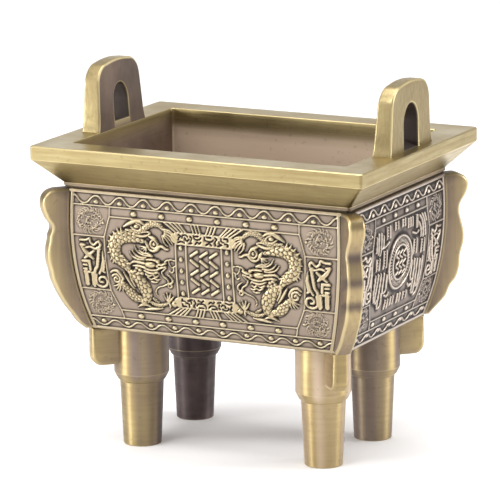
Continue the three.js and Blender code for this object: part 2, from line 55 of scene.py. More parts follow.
# Walls
HALF_LENGTH = 65.0
HALF_WIDTH = 49.5
BODY_INSET = 8.3
LEDGE_INSET = 8.6
GROOVE_DEPTH = 0.7
RIM_BAND = 11.2
WALL = 3.2
TAPER = 5.6
TAPER_POWER = 2.5
SWELL = 3.0
BODY_HALF_LENGTH = HALF_LENGTH - BODY_INSET
BODY_HALF_WIDTH = HALF_WIDTH - BODY_INSET

# Flanges, legs and ears
FLANGE_THICKNESS = 6.1
FLANGE_FACE = FLANGE_THICKNESS / 2 * math.sqrt(2)
SMUDGES = (81.3, 72.8, 64.3)
LEG_X = 36.3
LEG_Y = 20.8
FOOT_RADIUS = 6.85
NECK_RADIUS = 7.95
LEG_RADIUS = 10
NECK = 23.6
SHOULDER = 26.9
TONGUE_REACH = 19.2
TONGUE_HEIGHT = 14.4
TONGUE_CORNER = 4.0
TONGUE_THICKNESS = 6.0
EAR_HEIGHT = 24.5
EAR_THICKNESS = 7.4

# Relief
CELL = 0.25
TOP_LINE = 90.85
UPPER_LINE = 87.25
LOWER_LINE = 53.0
BOTTOM_LINE = 49.7
PANELS = (79.7, 60.1)


def inset(z):
    """How far a wall stands in from the body's top edge at height z."""
    s = np.clip((BODY_TOP - np.asarray(z, float)) / (BODY_TOP - UNDERSIDE), 0, 1)
    return TAPER * s ** TAPER_POWER - SWELL * s * (1 - s)


def new_mesh(name, points, faces, material, attributes=None):
    """Smoothly shaded object from points in millimetres, faces and values at each point."""
    mesh = bpy.data.meshes.new(name)
    points = np.asarray(points, float) * MM
    mesh.from_pydata(points.tolist(), [], [list(f) for f in faces])
    mesh.update()
    for key, values in (attributes or {}).items():
        layer = mesh.attributes.new(key, "FLOAT", "POINT")
        layer.data.foreach_set("value", np.asarray(values, np.float32))
    mesh.materials.append(material)
    obj = bpy.data.objects.new(name, mesh)
    bpy.context.collection.objects.link(obj)
    mesh.polygons.foreach_set("use_smooth", np.ones(len(mesh.polygons), bool))
    return obj


def soften(obj):
    """Smooth shading but for sharp corners, with normals that keep large faces flat."""
    obj.data.set_sharp_from_angle(angle=math.radians(38))
    modifier = obj.modifiers.new("normals", "WEIGHTED_NORMAL")
    modifier.keep_sharp = True
    modifier.weight = 100
    return obj


# Materials

GOLD = (180, 166, 122)
BROWN = (128, 104, 66)
EDGE_HIGHLIGHT = (232, 214, 162)
DARK_PATINA_AND_SHADE = (88, 73, 66)
PALE_PATINA_AND_SHADE = (142, 124, 110)
PALE_TONE_AND_PAINTED_LIGHT = (206, 184, 160)
SPECK = (70, 58, 50)
NEAR_BLACK = (30, 23, 20)
STAIN = (118, 100, 88)
WARM_GROUND = (150, 124, 76)
CREVICE = (24, 17, 12)


def linear(colour):
    """Screen colour up to 255 as linear light."""
    return [((c / 255 + 0.055) / 1.055) ** 2.4 if c > 10 else c / 255 / 12.92 for c in colour]


class Graph:
    """Short names for the nodes that the brass is made of."""

    def __init__(self, name):
        self.material = bpy.data.materials.new(name)
        self.material.use_nodes = True
        self.nodes = self.material.node_tree.nodes
        self.links = self.material.node_tree.links
        self.shader = self.nodes["Principled BSDF"]
        self.shader.inputs["Metallic"].default_value = 1.0
        coords = self.nodes.new("ShaderNodeTexCoord")
        self.place = coords.outputs["Object"]

    def link(self, source, socket):
        self.links.new(source, socket)

    def noise(self, scale, stretch=(1, 1, 1), detail=3.0, roughness=0.5):
        """Noise in object space, widened to run from 0 to 1."""
        mapping = self.nodes.new("ShaderNodeMapping")
        mapping.inputs["Scale"].default_value = stretch
        self.link(self.place, mapping.inputs["Vector"])
        node = self.nodes.new("ShaderNodeTexNoise")
        node.inputs["Scale"].default_value = scale
        node.inputs["Detail"].default_value = detail
        node.inputs["Roughness"].default_value = roughness
        self.link(mapping.outputs["Vector"], node.inputs["Vector"])
        return self.span(node.outputs["Fac"], 0.3, 0.7)

    def span(self, source, from_low, from_high, to_low=0.0, to_high=1.0):
        """The source brought from one span of values to another, and held inside it."""
        node = self.nodes.new("ShaderNodeMapRange")
        limits = {"From Min": from_low, "From Max": from_high, "To Min": to_low, "To Max": to_high}
        for key, value in limits.items():
            node.inputs[key].default_value = value
        self.link(source, node.inputs["Value"])
        return node.outputs["Result"]

    def attribute(self, name):
        node = self.nodes.new("ShaderNodeAttribute")
        node.attribute_name = name
        return node.outputs["Fac"]

    def math(self, operation, a, b):
        node = self.nodes.new("ShaderNodeMath")
        node.operation = operation
        for socket, value in zip(node.inputs, (a, b)):
            if isinstance(value, (int, float)):
                socket.default_value = value
            else:
                self.link(value, socket)
        return node.outputs[0]

    def times(self, a, b):
        return self.math("MULTIPLY", a, b)

    def mix(self, factor, a, b):
        """From colour a to colour b; a colour is a socket or a screen colour up to 255."""
        node = self.nodes.new("ShaderNodeMix")
        node.data_type = "RGBA"
        for socket, value in ((node.inputs["Factor"], factor), (node.inputs[6], a), (node.inputs[7], b)):
            if isinstance(value, (int, float)):
                socket.default_value = value
            elif isinstance(value, (list, tuple)):
                socket.default_value = (*linear(value), 1.0)
            else:
                self.link(value, socket)
        return node.outputs[2]

    def bump(self, height, strength, distance, normal=None):
        node = self.nodes.new("ShaderNodeBump")
        node.inputs["Strength"].default_value = strength
        node.inputs["Distance"].default_value = distance
        self.link(height, node.inputs["Height"])
        if normal is not None:
            self.link(normal, node.inputs["Normal"])
        return node.outputs["Normal"]

    def finish(self, colour, roughness, normal):
        self.link(colour, self.shader.inputs["Base Color"])
        self.link(roughness, self.shader.inputs["Roughness"])
        self.link(normal, self.shader.inputs["Normal"])
        return self.material


def brushed_brass(name, gold, brown, brush, mottle, rough, lines=0.2, aged_and_shaded=(DARK_PATINA_AND_SHADE, PALE_PATINA_AND_SHADE)):
    """Brass brushed one way; its attributes say where it has patina and painted shade, a paler tone and
    painted light, a painted highlight on its edges, and blackening.

    brush is the stretch of the strokes' noise, lines their strength and mottle that of the uneven tone.
    """
    g = Graph(name)
    cloud = g.noise(38, detail=4, roughness=0.6)
    strokes = g.noise(900, brush, detail=2)
    patina_and_shade = g.attribute("patina_and_shade")
    colour = g.mix(g.times(cloud, mottle), gold, brown)
    colour = g.mix(g.times(strokes, lines), colour, brown)
    # Where patina and painted shade lie the colour darkens; where the paler tone and painted light lie too,
    # as on the inner back wall, it turns pale
    pale_tone_and_painted_light = g.attribute("pale_tone_and_painted_light")
    old = g.mix(pale_tone_and_painted_light, g.mix(cloud, *aged_and_shaded), PALE_TONE_AND_PAINTED_LIGHT)
    colour = g.mix(patina_and_shade, colour, old)
    specks = g.span(g.noise(520, detail=1, roughness=0.4), 0.96, 1.06)
    colour = g.mix(g.times(specks, 0.35), colour, SPECK)
    # Painted highlight along rounded edges
    colour = g.mix(g.times(g.attribute("edge"), 0.7), colour, EDGE_HIGHLIGHT)
    # Near-black darkening in the groove, the ears' slots and the flanges' tops
    colour = g.mix(g.attribute("blackening"), colour, NEAR_BLACK)
    wear_and_edge_highlight = g.math("ADD", g.span(cloud, 0, 1, rough, rough + 0.08), g.times(strokes, 0.12))
    roughness = g.math("ADD", wear_and_edge_highlight, g.times(patina_and_shade, 0.16))
    dull = g.times(patina_and_shade, g.span(pale_tone_and_painted_light, 0, 1, 0.5, 0.95))
    g.link(g.math("SUBTRACT", 1.0, dull), g.shader.inputs["Metallic"])
    normal = g.bump(g.noise(60, detail=2), 0.25, 0.0004)
    normal = g.bump(strokes, 0.12, 0.00012, normal)
    return g.finish(colour, roughness, normal)


def relief_brass(name, gold, pale, ground, shine):
    """Cast relief: golden where it stands proud, with a painted highlight on its edges and dark patina and
    painted shade beside its forms.
    """
    g = Graph(name)
    cloud = g.noise(45, detail=4, roughness=0.6)
    base = g.mix(g.times(cloud, 0.4), ground, STAIN)
    raised = g.mix(g.attribute("gold"), pale, gold)
    raised = g.mix(g.times(g.noise(500, detail=2), 0.3), raised, ground)
    base = g.mix(g.times(g.attribute("gold"), 0.6), base, WARM_GROUND)
    colour = g.mix(g.attribute("rise"), base, raised)
    # Painted highlight on convex edges of the relief
    colour = g.mix(g.times(g.attribute("crest"), 0.6), colour, shine)
    # Dark patina and painted shade in creases and beside raised forms
    colour = g.mix(g.attribute("cavity"), colour, CREVICE)
    roughness = g.span(g.attribute("rise"), 0, 1, 0.5, 0.38)
    g.link(g.span(g.attribute("rise"), 0, 1, 0.6, 1.0), g.shader.inputs["Metallic"])
    normal = g.bump(g.noise(420, detail=3), 0.25, 0.00025)
    return g.finish(colour, roughness, normal)


shell_brass = brushed_brass("rim_brass", GOLD, BROWN, (0.06, 0.06, 1), 0.35, 0.27, 0.42)
flange_brass = brushed_brass("flange_brass", (184, 165, 122), (116, 94, 70), (1, 1, 0.06), 0.3, 0.3)
ear_brass = brushed_brass("ear_brass", (170, 155, 113), (112, 92, 64), (1, 1, 0.3), 0.35, 0.32, 0.3,
                          ((80, 66, 60), (128, 110, 98)))
# The leg's darker colours serve both patina and painted shade
leg_brass = brushed_brass("leg_brass", (191, 170, 122), (110, 91, 66), (0.08, 0.08, 1), 0.4, 0.3, 0.14,
                          ((50, 41, 43), (108, 94, 92)))
# Turned metal spreads its highlights across the tool's marks
for socket, value in (("Anisotropic", 0.8), ("Anisotropic Rotation", 0.25)):
    leg_brass.node_tree.nodes["Principled BSDF"].inputs[socket].default_value = value
long_brass = relief_brass("long_relief_brass", (184, 167, 130), (156, 142, 120), (152, 137, 121),
                          (216, 202, 172))
short_brass = relief_brass("short_relief_brass", (176, 163, 148), (158, 146, 136), (130, 117, 109),
                           (224, 212, 198))


# Walls, rim and mouth

def arc_corner(before, corner, after, radius, steps):
    """Points of a rounded corner of a two-dimensional outline."""
    b, c, a = (np.asarray(p, float) for p in (before, corner, after))
    u = (b - c) / np.linalg.norm(b - c)
    v = (a - c) / np.linalg.norm(a - c)
    half = math.acos(np.clip(u @ v, -1, 1)) / 2
    reach = min(radius / math.tan(half), 0.45 * np.linalg.norm(b - c), 0.45 * np.linalg.norm(a - c))
    middle = c + (u + v) / np.linalg.norm(u + v) * reach / math.cos(half)
    start = c + u * reach - middle
    end = c + v * reach - middle
    sweep = math.pi - 2 * half
    turn = math.copysign(1, start[0] * end[1] - start[1] * end[0])
    points = []
    for t in np.linspace(0, turn * sweep, steps + 1):
        cos, sin = math.cos(t), math.sin(t)
        points.append(middle + np.array([[cos, -sin], [sin, cos]]) @ start)
    return points


def rounded(outline, radii, steps=4):
    """Open outline with its inner corners rounded, and for each point whether it is on an edge."""
    points = [np.asarray(outline[0], float)]
    edge = [0.0]
    for i in range(1, len(outline) - 1):
        if radii[i] <= 0:
            points.append(np.asarray(outline[i], float))
            edge.append(0.0)
            continue
        arc = arc_corner(*outline[i - 1:i + 2], radii[i], steps)
        points.extend(arc)
        edge.extend([0.0] + [1.0 if radii[i] > 0.25 else 0.5] * (len(arc) - 2) + [0.0])
    points.append(np.asarray(outline[-1], float))
    edge.append(0.0)
    return points, edge


def rectangle_ring(half_x, half_y, z, radius):
    """Level ring of points round a rectangle with rounded corners."""
    ring = []
    steps = 4
    for index, (sx, sy) in enumerate(((1, -1), (1, 1), (-1, 1), (-1, -1))):
        centre = (sx * (half_x - radius), sy * (half_y - radius))
        first = -math.pi / 2 + index * math.pi / 2
        for i in range(steps + 1):
            t = first + math.pi / 2 * i / steps
            ring.append((centre[0] + radius * math.cos(t), centre[1] + radius * math.sin(t), z))
    return ring


def skin(rings):
    """Faces between rings of equally many points, and the flat ends."""
    count = len(rings[0])
    faces = []
    for k in range(len(rings) - 1):
        for i in range(count):
            j = (i + 1) % count
            faces.append((k * count + i, k * count + j, (k + 1) * count + j, (k + 1) * count + i))
    faces.append(tuple(reversed(range(count))))
    faces.append(tuple((len(rings) - 1) * count + i for i in range(count)))
    return faces


def make_shell():
    """Walls behind the reliefs, groove, ledge, bevel, fascia, rim and the hollow inside."""
    behind, corner, fillet = 0.7, 1.2, 1.2
    heights = np.linspace(UNDERSIDE, BODY_TOP, 14)
    groove = LEDGE_INSET + GROOVE_DEPTH
    outline = [(BODY_INSET + inset(z) + behind, z) for z in heights]
    radii = [0] * len(outline)
    upper = [
        ((groove, BODY_TOP + 0.2), 0), ((groove, LEDGE_BOTTOM), 0.15), ((LEDGE_INSET, LEDGE_BOTTOM), 0.3),
        ((LEDGE_INSET, BEVEL_BOTTOM), 0.3), ((0, FASCIA_BOTTOM), 0.45), ((0, RIM), 0.6),
        ((RIM_BAND, RIM), 0.45),
    ]
    for point, radius in upper:
        outline.append(point)
        radii.append(radius)
    for z in np.linspace(RIM - 1.5, FLOOR + 1.5, 22):
        outline.append((max(RIM_BAND, BODY_INSET + inset(z) + WALL), z))
        radii.append(0)
    bottom = max(RIM_BAND, BODY_INSET + inset(FLOOR) + WALL)
    outline.extend([(bottom, FLOOR), (bottom + 6, FLOOR)])
    radii.extend([fillet, 0])
    points, edge = rounded(outline, radii)
    rings, edges, patina_and_shade, pale_tone_and_painted_light, blackening = [], [], [], [], []
    for (inward, z), e in zip(points, edge):
        inside = inward >= RIM_BAND and len(rings) > 20
        below = z < BEVEL_BOTTOM - 0.1
        rings.append(rectangle_ring(HALF_LENGTH - inward, HALF_WIDTH - inward, z, corner))
        # Painted highlight on rounded edges, weaker inside
        edges.extend([e * (0.3 if inside else 0.7)] * len(rings[-1]))
        # Patina and painted shade: inside, deepening down from the rim; outside below the bevel, on the
        # groove, ledge, hidden walls and underside
        aged_and_shaded = np.clip((RIM - z - 0.8) / 5, 0, 0.95) if inside else (0.8 if below else 0)
        for x, y, _ in rings[-1]:
            # The inner back wall, which faces the front lamps, gets a pale tone of painted light from 4 mm
            # below the rim
            back_wall = inside and y > HALF_WIDTH - inward - 0.6 and abs(x) < HALF_LENGTH - inward - 0.3
            patina_and_shade.append(np.clip((RIM - z - 4) / 4, 0, 1) if back_wall else aged_and_shaded)
            pale_tone_and_painted_light.append(patina_and_shade[-1] if back_wall else 0)
            # Near black in the groove under the ledge
            blackening.append(0.55 if not inside and BODY_TOP - 0.1 < z < LEDGE_BOTTOM + 0.1 else 0)
    return soften(new_mesh("vessel_shell", sum(rings, []), skin(rings), shell_brass,
                           {"edge": edges, "patina_and_shade": patina_and_shade, "pale_tone_and_painted_light": pale_tone_and_painted_light, "blackening": blackening}))


# Plates with rounded edges

def flat_plate(name, outlines, thickness, radius):
    """Points, faces and painted edge-highlight values of a plate with rounded edges, and holes after its
    outline.
    """
    curve = bpy.data.curves.new(name, "CURVE")
    curve.dimensions = "2D"
    curve.fill_mode = "BOTH"
    curve.extrude = thickness / 2 - radius
    curve.bevel_depth = radius
    curve.bevel_resolution = 2
    curve.offset = -radius
    for outline in outlines:
        spline = curve.splines.new("POLY")
        spline.points.add(len(outline) - 1)
        for point, (x, y) in zip(spline.points, outline):
            point.co = (x, y, 0, 1)
        spline.use_cyclic_u = True
    holder = bpy.data.objects.new(name, curve)
    bpy.context.collection.objects.link(holder)
    depsgraph = bpy.context.evaluated_depsgraph_get()
    mesh = bpy.data.meshes.new_from_object(holder.evaluated_get(depsgraph))
    corners = np.array([v.co[:] for v in mesh.vertices])
    faces = [tuple(p.vertices) for p in mesh.polygons]
    bpy.data.objects.remove(holder)
    bpy.data.curves.remove(curve)
    bpy.data.meshes.remove(mesh)
    # The caps and the rim of the curve don't share points, so equal ones are joined
    keys, order, remap = {}, [], []
    for point in np.round(corners, 4):
        key = tuple(point)
        if key not in keys:
            keys[key] = len(order)
            order.append(point)
        remap.append(keys[key])
    faces = [tuple(dict.fromkeys(remap[i] for i in f)) for f in faces]
    faces = [f for f in faces if len(f) > 2]
    points = np.array(order)
    depth = thickness / 2 - np.abs(points[:, 2])
    edge = ((depth > radius * 0.04) & (depth < radius * 0.96)).astype(float)
    return points, faces, edge


def on_diagonal(points, sx, sy):
    """Way out along a corner's diagonal, and a plate's points turned to stand along it."""
    outward = np.array([sx, sy, 0]) / math.sqrt(2)
    across = np.cross(outward, [0, 0, 1])
    return outward, points[:, :1] * outward + points[:, 1:2] * [0, 0, 1] + points[:, 2:] * across


def resample(points, spacing):
    """The same line with points at an even spacing."""
    points = np.asarray(points, float)
    lengths = np.hypot(*np.diff(points, axis=0).T)
    run = np.concatenate([[0], np.cumsum(lengths)])
    count = max(int(round(run[-1] / spacing)), 1)
    at = np.linspace(0, run[-1], count + 1)
    return np.column_stack([np.interp(at, run, points[:, k]) for k in (0, 1)])


def smooth(points, count=8):
    """Catmull-Rom curve through control points, with count steps between each two."""
    p = np.asarray(points, float)
    if len(p) < 3:
        return p
    p = np.vstack([2 * p[0] - p[1], p, 2 * p[-1] - p[-2]])
    t = np.linspace(0, 1, count, endpoint=False)[:, None]
    parts = []
    for a, b, c, d in zip(p[:-3], p[1:-2], p[2:-1], p[3:]):
        square, cube = 2 * a - 5 * b + 4 * c - d, 3 * b - a - 3 * c + d
        parts.append(0.5 * (2 * b + (c - a) * t + square * t ** 2 + cube * t ** 3))
    parts.append(p[-2:-1])
    return np.vstack(parts)


def make_ear(side):
    """Arched ear on the left or right rim, with a flared foot and a slot."""
    base, straight, top = 36.0, 33.6, 31.6
    flare, corner, crown = 6.0, 7.5, 0.7
    root = 1.6

    def half(height):
        """Half the ear's width at a height over the rim."""
        if height < flare:
            return (straight + (base - straight) * (1 - max(height, 0) / flare) ** 2) / 2
        return np.interp(height, [flare, EAR_HEIGHT - corner], [straight / 2, top / 2])

    right = [(half(0), -root)] + [(half(h), h) for h in np.linspace(0, EAR_HEIGHT - corner, 14)]
    for i in range(1, 13):
        t = math.pi / 2 * i / 12
        right.append((top / 2 - corner * (1 - math.cos(t)), EAR_HEIGHT - crown - corner * (1 - math.sin(t))))
    crest = right[-1][0]
    for i in range(1, 6):
        x = crest * (1 - i / 6)
        right.append((x, EAR_HEIGHT - crown * (x / crest) ** 2))
    right.append((0.0, EAR_HEIGHT))
    outline = right + [(-x, y) for x, y in reversed(right[:-1])]
    slot_half, slot_top, arch = (5.3, 15.6, 6.9) if side < 0 else (5.9, 16.4, 7.2)
    slot = [(slot_half, 0.0)]
    for i in range(21):
        t = math.pi * i / 20
        slot.append((slot_half * math.cos(t), slot_top - arch + arch * math.sin(t)))
    slot.append((-slot_half, 0.0))
    points, faces, edge = flat_plate(f"ear_{side}", [outline, slot[::-1]], EAR_THICKNESS, 0.9)
    share = points[:, 2] / EAR_THICKNESS + 0.5
    up = points[:, 1]
    in_slot = (np.abs(points[:, 0]) < slot_half + 1.0) & (up > -0.9) & (up < slot_top + 1.0)
    edge = np.where(in_slot, edge * 0.7, edge)
    patina_and_shade = np.where(share < 0.02, 0.95, np.where(share > 0.98, 0.12, 0.0))
    hollow = in_slot & (share > 0.02) & (share < 0.98)
    patina_and_shade = np.where(hollow, 1.0, patina_and_shade)
    rise = np.clip(up, 0, None) / EAR_HEIGHT
    inner = HALF_LENGTH - RIM_BAND + 1.7 * rise
    foot = np.clip(1 - np.clip(up, 0, None) / flare, 0, 1) ** 2
    outer = HALF_LENGTH - RIM_BAND + 7.2 + 0.2 * foot
    out = inner + (outer - inner) * share
    sill = (np.abs(points[:, 0]) < slot_half + 0.8) & (up < 1.2) & (up > -1.0)
    lift = np.where(sill, 2.6 * (1 - share), 0)
    placed = np.column_stack([side * out, points[:, 0], RIM + up + lift])
    if side < 0:
        faces = [f[::-1] for f in faces]
    # The curve's own axes are across, up and out, which turn over when up becomes Z
    faces = [f[::-1] for f in faces]
    return soften(new_mesh("ear_left" if side < 0 else "ear_right", placed, faces, ear_brass,
                           {"edge": edge, "patina_and_shade": patina_and_shade, "blackening": np.where(hollow, 0.75, 0.0)}))


# Scalloped edges as they were ground: reach from the body's corner along the diagonal, and height
FLANGE_EDGES = {
    "front_left": [
        (3.0, 96.1), (4.7, 95.7), (5.9, 95.0), (7.1, 93.6), (7.7, 91.6), (7.6, 89.4), (6.9, 87.2),
        (5.9, 84.9), (4.6, 83.2), (4.4, 81.4), (5.2, 79.3), (5.4, 77.4), (6.0, 74.6), (6.2, 71.8),
        (5.9, 69.0), (5.1, 66.4), (4.8, 64.4), (4.2, 62.3), (2.2, 57.8), (-0.3, 53.4), (-2.9, 49.9),
        (-5.2, 46.6), (-7.6, 44.6),
    ],
    "back_right": [
        (2.4, 96.2), (4.6, 95.4), (6.1, 94.3), (7.0, 92.6), (7.1, 90.9), (6.3, 88.4), (4.9, 86.2),
        (4.0, 84.4), (3.7, 82.2), (4.3, 79.4), (5.2, 76.0), (5.6, 73.2), (5.4, 70.4), (4.6, 67.6),
        (4.1, 65.6), (3.8, 61.4), (2.5, 57.5), (0.2, 54.8), (-1.6, 50.9), (-4.6, 47.9), (-8.0, 44.6),
    ],
    "front_right": [
        (3.2, 96.2), (5.0, 95.7), (6.6, 94.3), (7.4, 92.2), (7.2, 89.6), (6.2, 87.0), (4.9, 84.9),
        (4.1, 83.1), (4.0, 81.4), (4.9, 78.8), (5.5, 75.4), (5.8, 72.4), (5.5, 69.4), (4.8, 66.6),
        (4.5, 64.2), (4.0, 61.8), (2.4, 57.7), (0.0, 54.0), (-2.2, 50.4), (-4.9, 47.2), (-7.7, 44.6),
    ],
}
FLANGE_EDGES["back_left"] = FLANGE_EDGES["front_right"]
CORNERS = {"front_left": (-1, -1), "front_right": (1, -1), "back_left": (-1, 1), "back_right": (1, 1)}


def make_flange(name):
    """Scalloped flange on the diagonal of a corner."""
    sx, sy = CORNERS[name]
    outer = resample(smooth(FLANGE_EDGES[name], 6), 0.9)
    heights = np.linspace(UNDERSIDE, BODY_TOP, 12)
    inner = [(-math.sqrt(2) * float(inset(z)) - 2.6, z) for z in heights]
    outline = [tuple(p) for p in outer] + inner
    points, faces, edge = flat_plate(name, [outline], FLANGE_THICKNESS, 1.15)
    base = -math.sqrt(2) * inset(points[:, 1])
    patina_and_shade = np.clip(1.0 - (points[:, 0] - base) / 7, 0, 1) * 0.85
    blackening = 0.7 * np.clip((points[:, 1] - 93.5) / 2.5, 0, 1) * np.clip(1 - (points[:, 0] - base) / 5, 0, 1)
    if name == "front_right":
        face = np.abs(points[:, 2]) > FLANGE_THICKNESS / 2 - 0.05
        patina_and_shade += 0.15 * face
        blackening += 0.22 * face
    # The hollows of the scalloped edge hold their dark patina
    for height in SMUDGES if sx != sy else ():
        smudge = np.exp(-((points[:, 1] - height) / 1.7) ** 2) * (points[:, 0] > base + 3)
        patina_and_shade += 0.8 * smudge
        blackening += 0.3 * smudge
    patina_and_shade = np.clip(patina_and_shade, 0, 1)
    _, turned = on_diagonal(points, sx, sy)
    corner = np.array([sx * BODY_HALF_LENGTH, sy * BODY_HALF_WIDTH, 0])
    return soften(new_mesh("flange_" + name, corner + turned, faces, flange_brass,
                           {"edge": edge * 0.6, "patina_and_shade": patina_and_shade, "blackening": blackening}))


# Legs

# Patina and painted shade on the outer side of each leg and on its inner side, which faces under the body,
# and its paler tone; the back left leg is darkened whole with painted shade
LEG_PATINA_AND_SHADE = {"front_left": (0.2, 0.95, 0.1), "front_right": (0.22, 0.8, 0.9),
              "back_left": (1.3, 1.3, 0.0), "back_right": (0.35, 1.0, 0.25)}


def make_leg(name):
    """Turned leg with a waist, and the tongue that backs the flange's foot."""
    sx, sy = CORNERS[name]
    outline = [
        (0, 0), (FOOT_RADIUS, 0), (NECK_RADIUS, NECK), (NECK_RADIUS + 0.8, NECK + 0.8),
        (LEG_RADIUS, SHOULDER), (LEG_RADIUS, UNDERSIDE), (0, UNDERSIDE),
    ]
    profile, edge = rounded(outline, [0, 0.5, 0.25, 0.5, 0.9, 0.1, 0], 5)
    turns = np.linspace(0, 2 * math.pi, 72, endpoint=False)
    edges, rings = [], []
    for (r, z), e in zip(profile[1:-1], edge[1:-1]):
        rings.append([(r * math.cos(t), r * math.sin(t), z) for t in turns])
        edges.extend([e * 0.25] * len(turns))
    points = np.array(sum(rings, []))
    faces = skin(rings)
    low = UNDERSIDE - TONGUE_HEIGHT
    plate = [(0.0, UNDERSIDE), (0.0, low)]
    for t in np.linspace(0, math.pi / 2, 9):
        plate.append((TONGUE_REACH - TONGUE_CORNER * (1 - math.sin(t)),
                      low + TONGUE_CORNER * (1 - math.cos(t))))
    plate.append((TONGUE_REACH, UNDERSIDE))
    tongue, tongue_faces, tongue_edge = flat_plate(name, [plate], TONGUE_THICKNESS, 1.5)
    outward, turned = on_diagonal(tongue, sx, sy)
    faces += [tuple(i + len(points) for i in f) for f in tongue_faces]
    points = np.vstack([points, turned])
    inward = -(points @ outward) / np.maximum(np.hypot(points[:, 0], points[:, 1]), 1)
    outer_patina_and_shade, inner_patina_and_shade, paleness = LEG_PATINA_AND_SHADE[name]
    turn = np.arctan2(points[:, 1], points[:, 0])
    # Painted reflections: dark vertical bands round the leg, stronger on its upper part
    painted_reflection_bands = 0.2 * np.sin(5 * turn + 1.2) + 0.15 * np.sin(9 * turn + 0.4 + points[:, 2] * 0.03)
    upper = points[:, 2] > NECK + 0.9
    # Painted shade on the inner side, which faces under the body
    patina_and_shade = outer_patina_and_shade + (inner_patina_and_shade - outer_patina_and_shade) * np.clip(inward / 0.9 + 0.45, 0, 1)
    patina_and_shade += painted_reflection_bands * np.where(upper, 2.2, 1.0)
    patina_and_shade = np.clip(patina_and_shade + (0.3 if sx < 0 else 0.1) * upper, 0, 1)
    pale_tone_and_painted_light = np.clip(paleness + 0.2 * upper * (sx < 0) * (sy < 0), 0, 1)
    beyond = np.hypot(turned[:, 0], turned[:, 1])
    patina_and_shade[-len(turned):] = 0.9 * np.clip(1 - (beyond - 10.5) / 8.5, 0, 1)
    points += [sx * LEG_X, sy * LEG_Y, 0]
    # Painted highlight on the leg's rounded edges and, weaker, on the tongue's
    wear_and_edge_highlight = np.concatenate([edges, tongue_edge * 0.15])
    return soften(new_mesh("leg_" + name + "_cast", points, faces, leg_brass,
                           {"edge": wear_and_edge_highlight, "patina_and_shade": patina_and_shade, "pale_tone_and_painted_light": pale_tone_and_painted_light}))


# Relief of the walls

def blur(field, cells):
    """The field smoothed by a bell of so many cells."""
    reach = int(math.ceil(cells * 3))
    kernel = np.exp(-0.5 * (np.arange(-reach, reach + 1) / cells) ** 2)
    kernel /= kernel.sum()
    padded = np.pad(field, reach, mode="edge")
    rows = sum(k * padded[i:i + field.shape[0], :] for i, k in enumerate(kernel))
    return sum(k * rows[:, i:i + field.shape[1]] for i, k in enumerate(kernel))


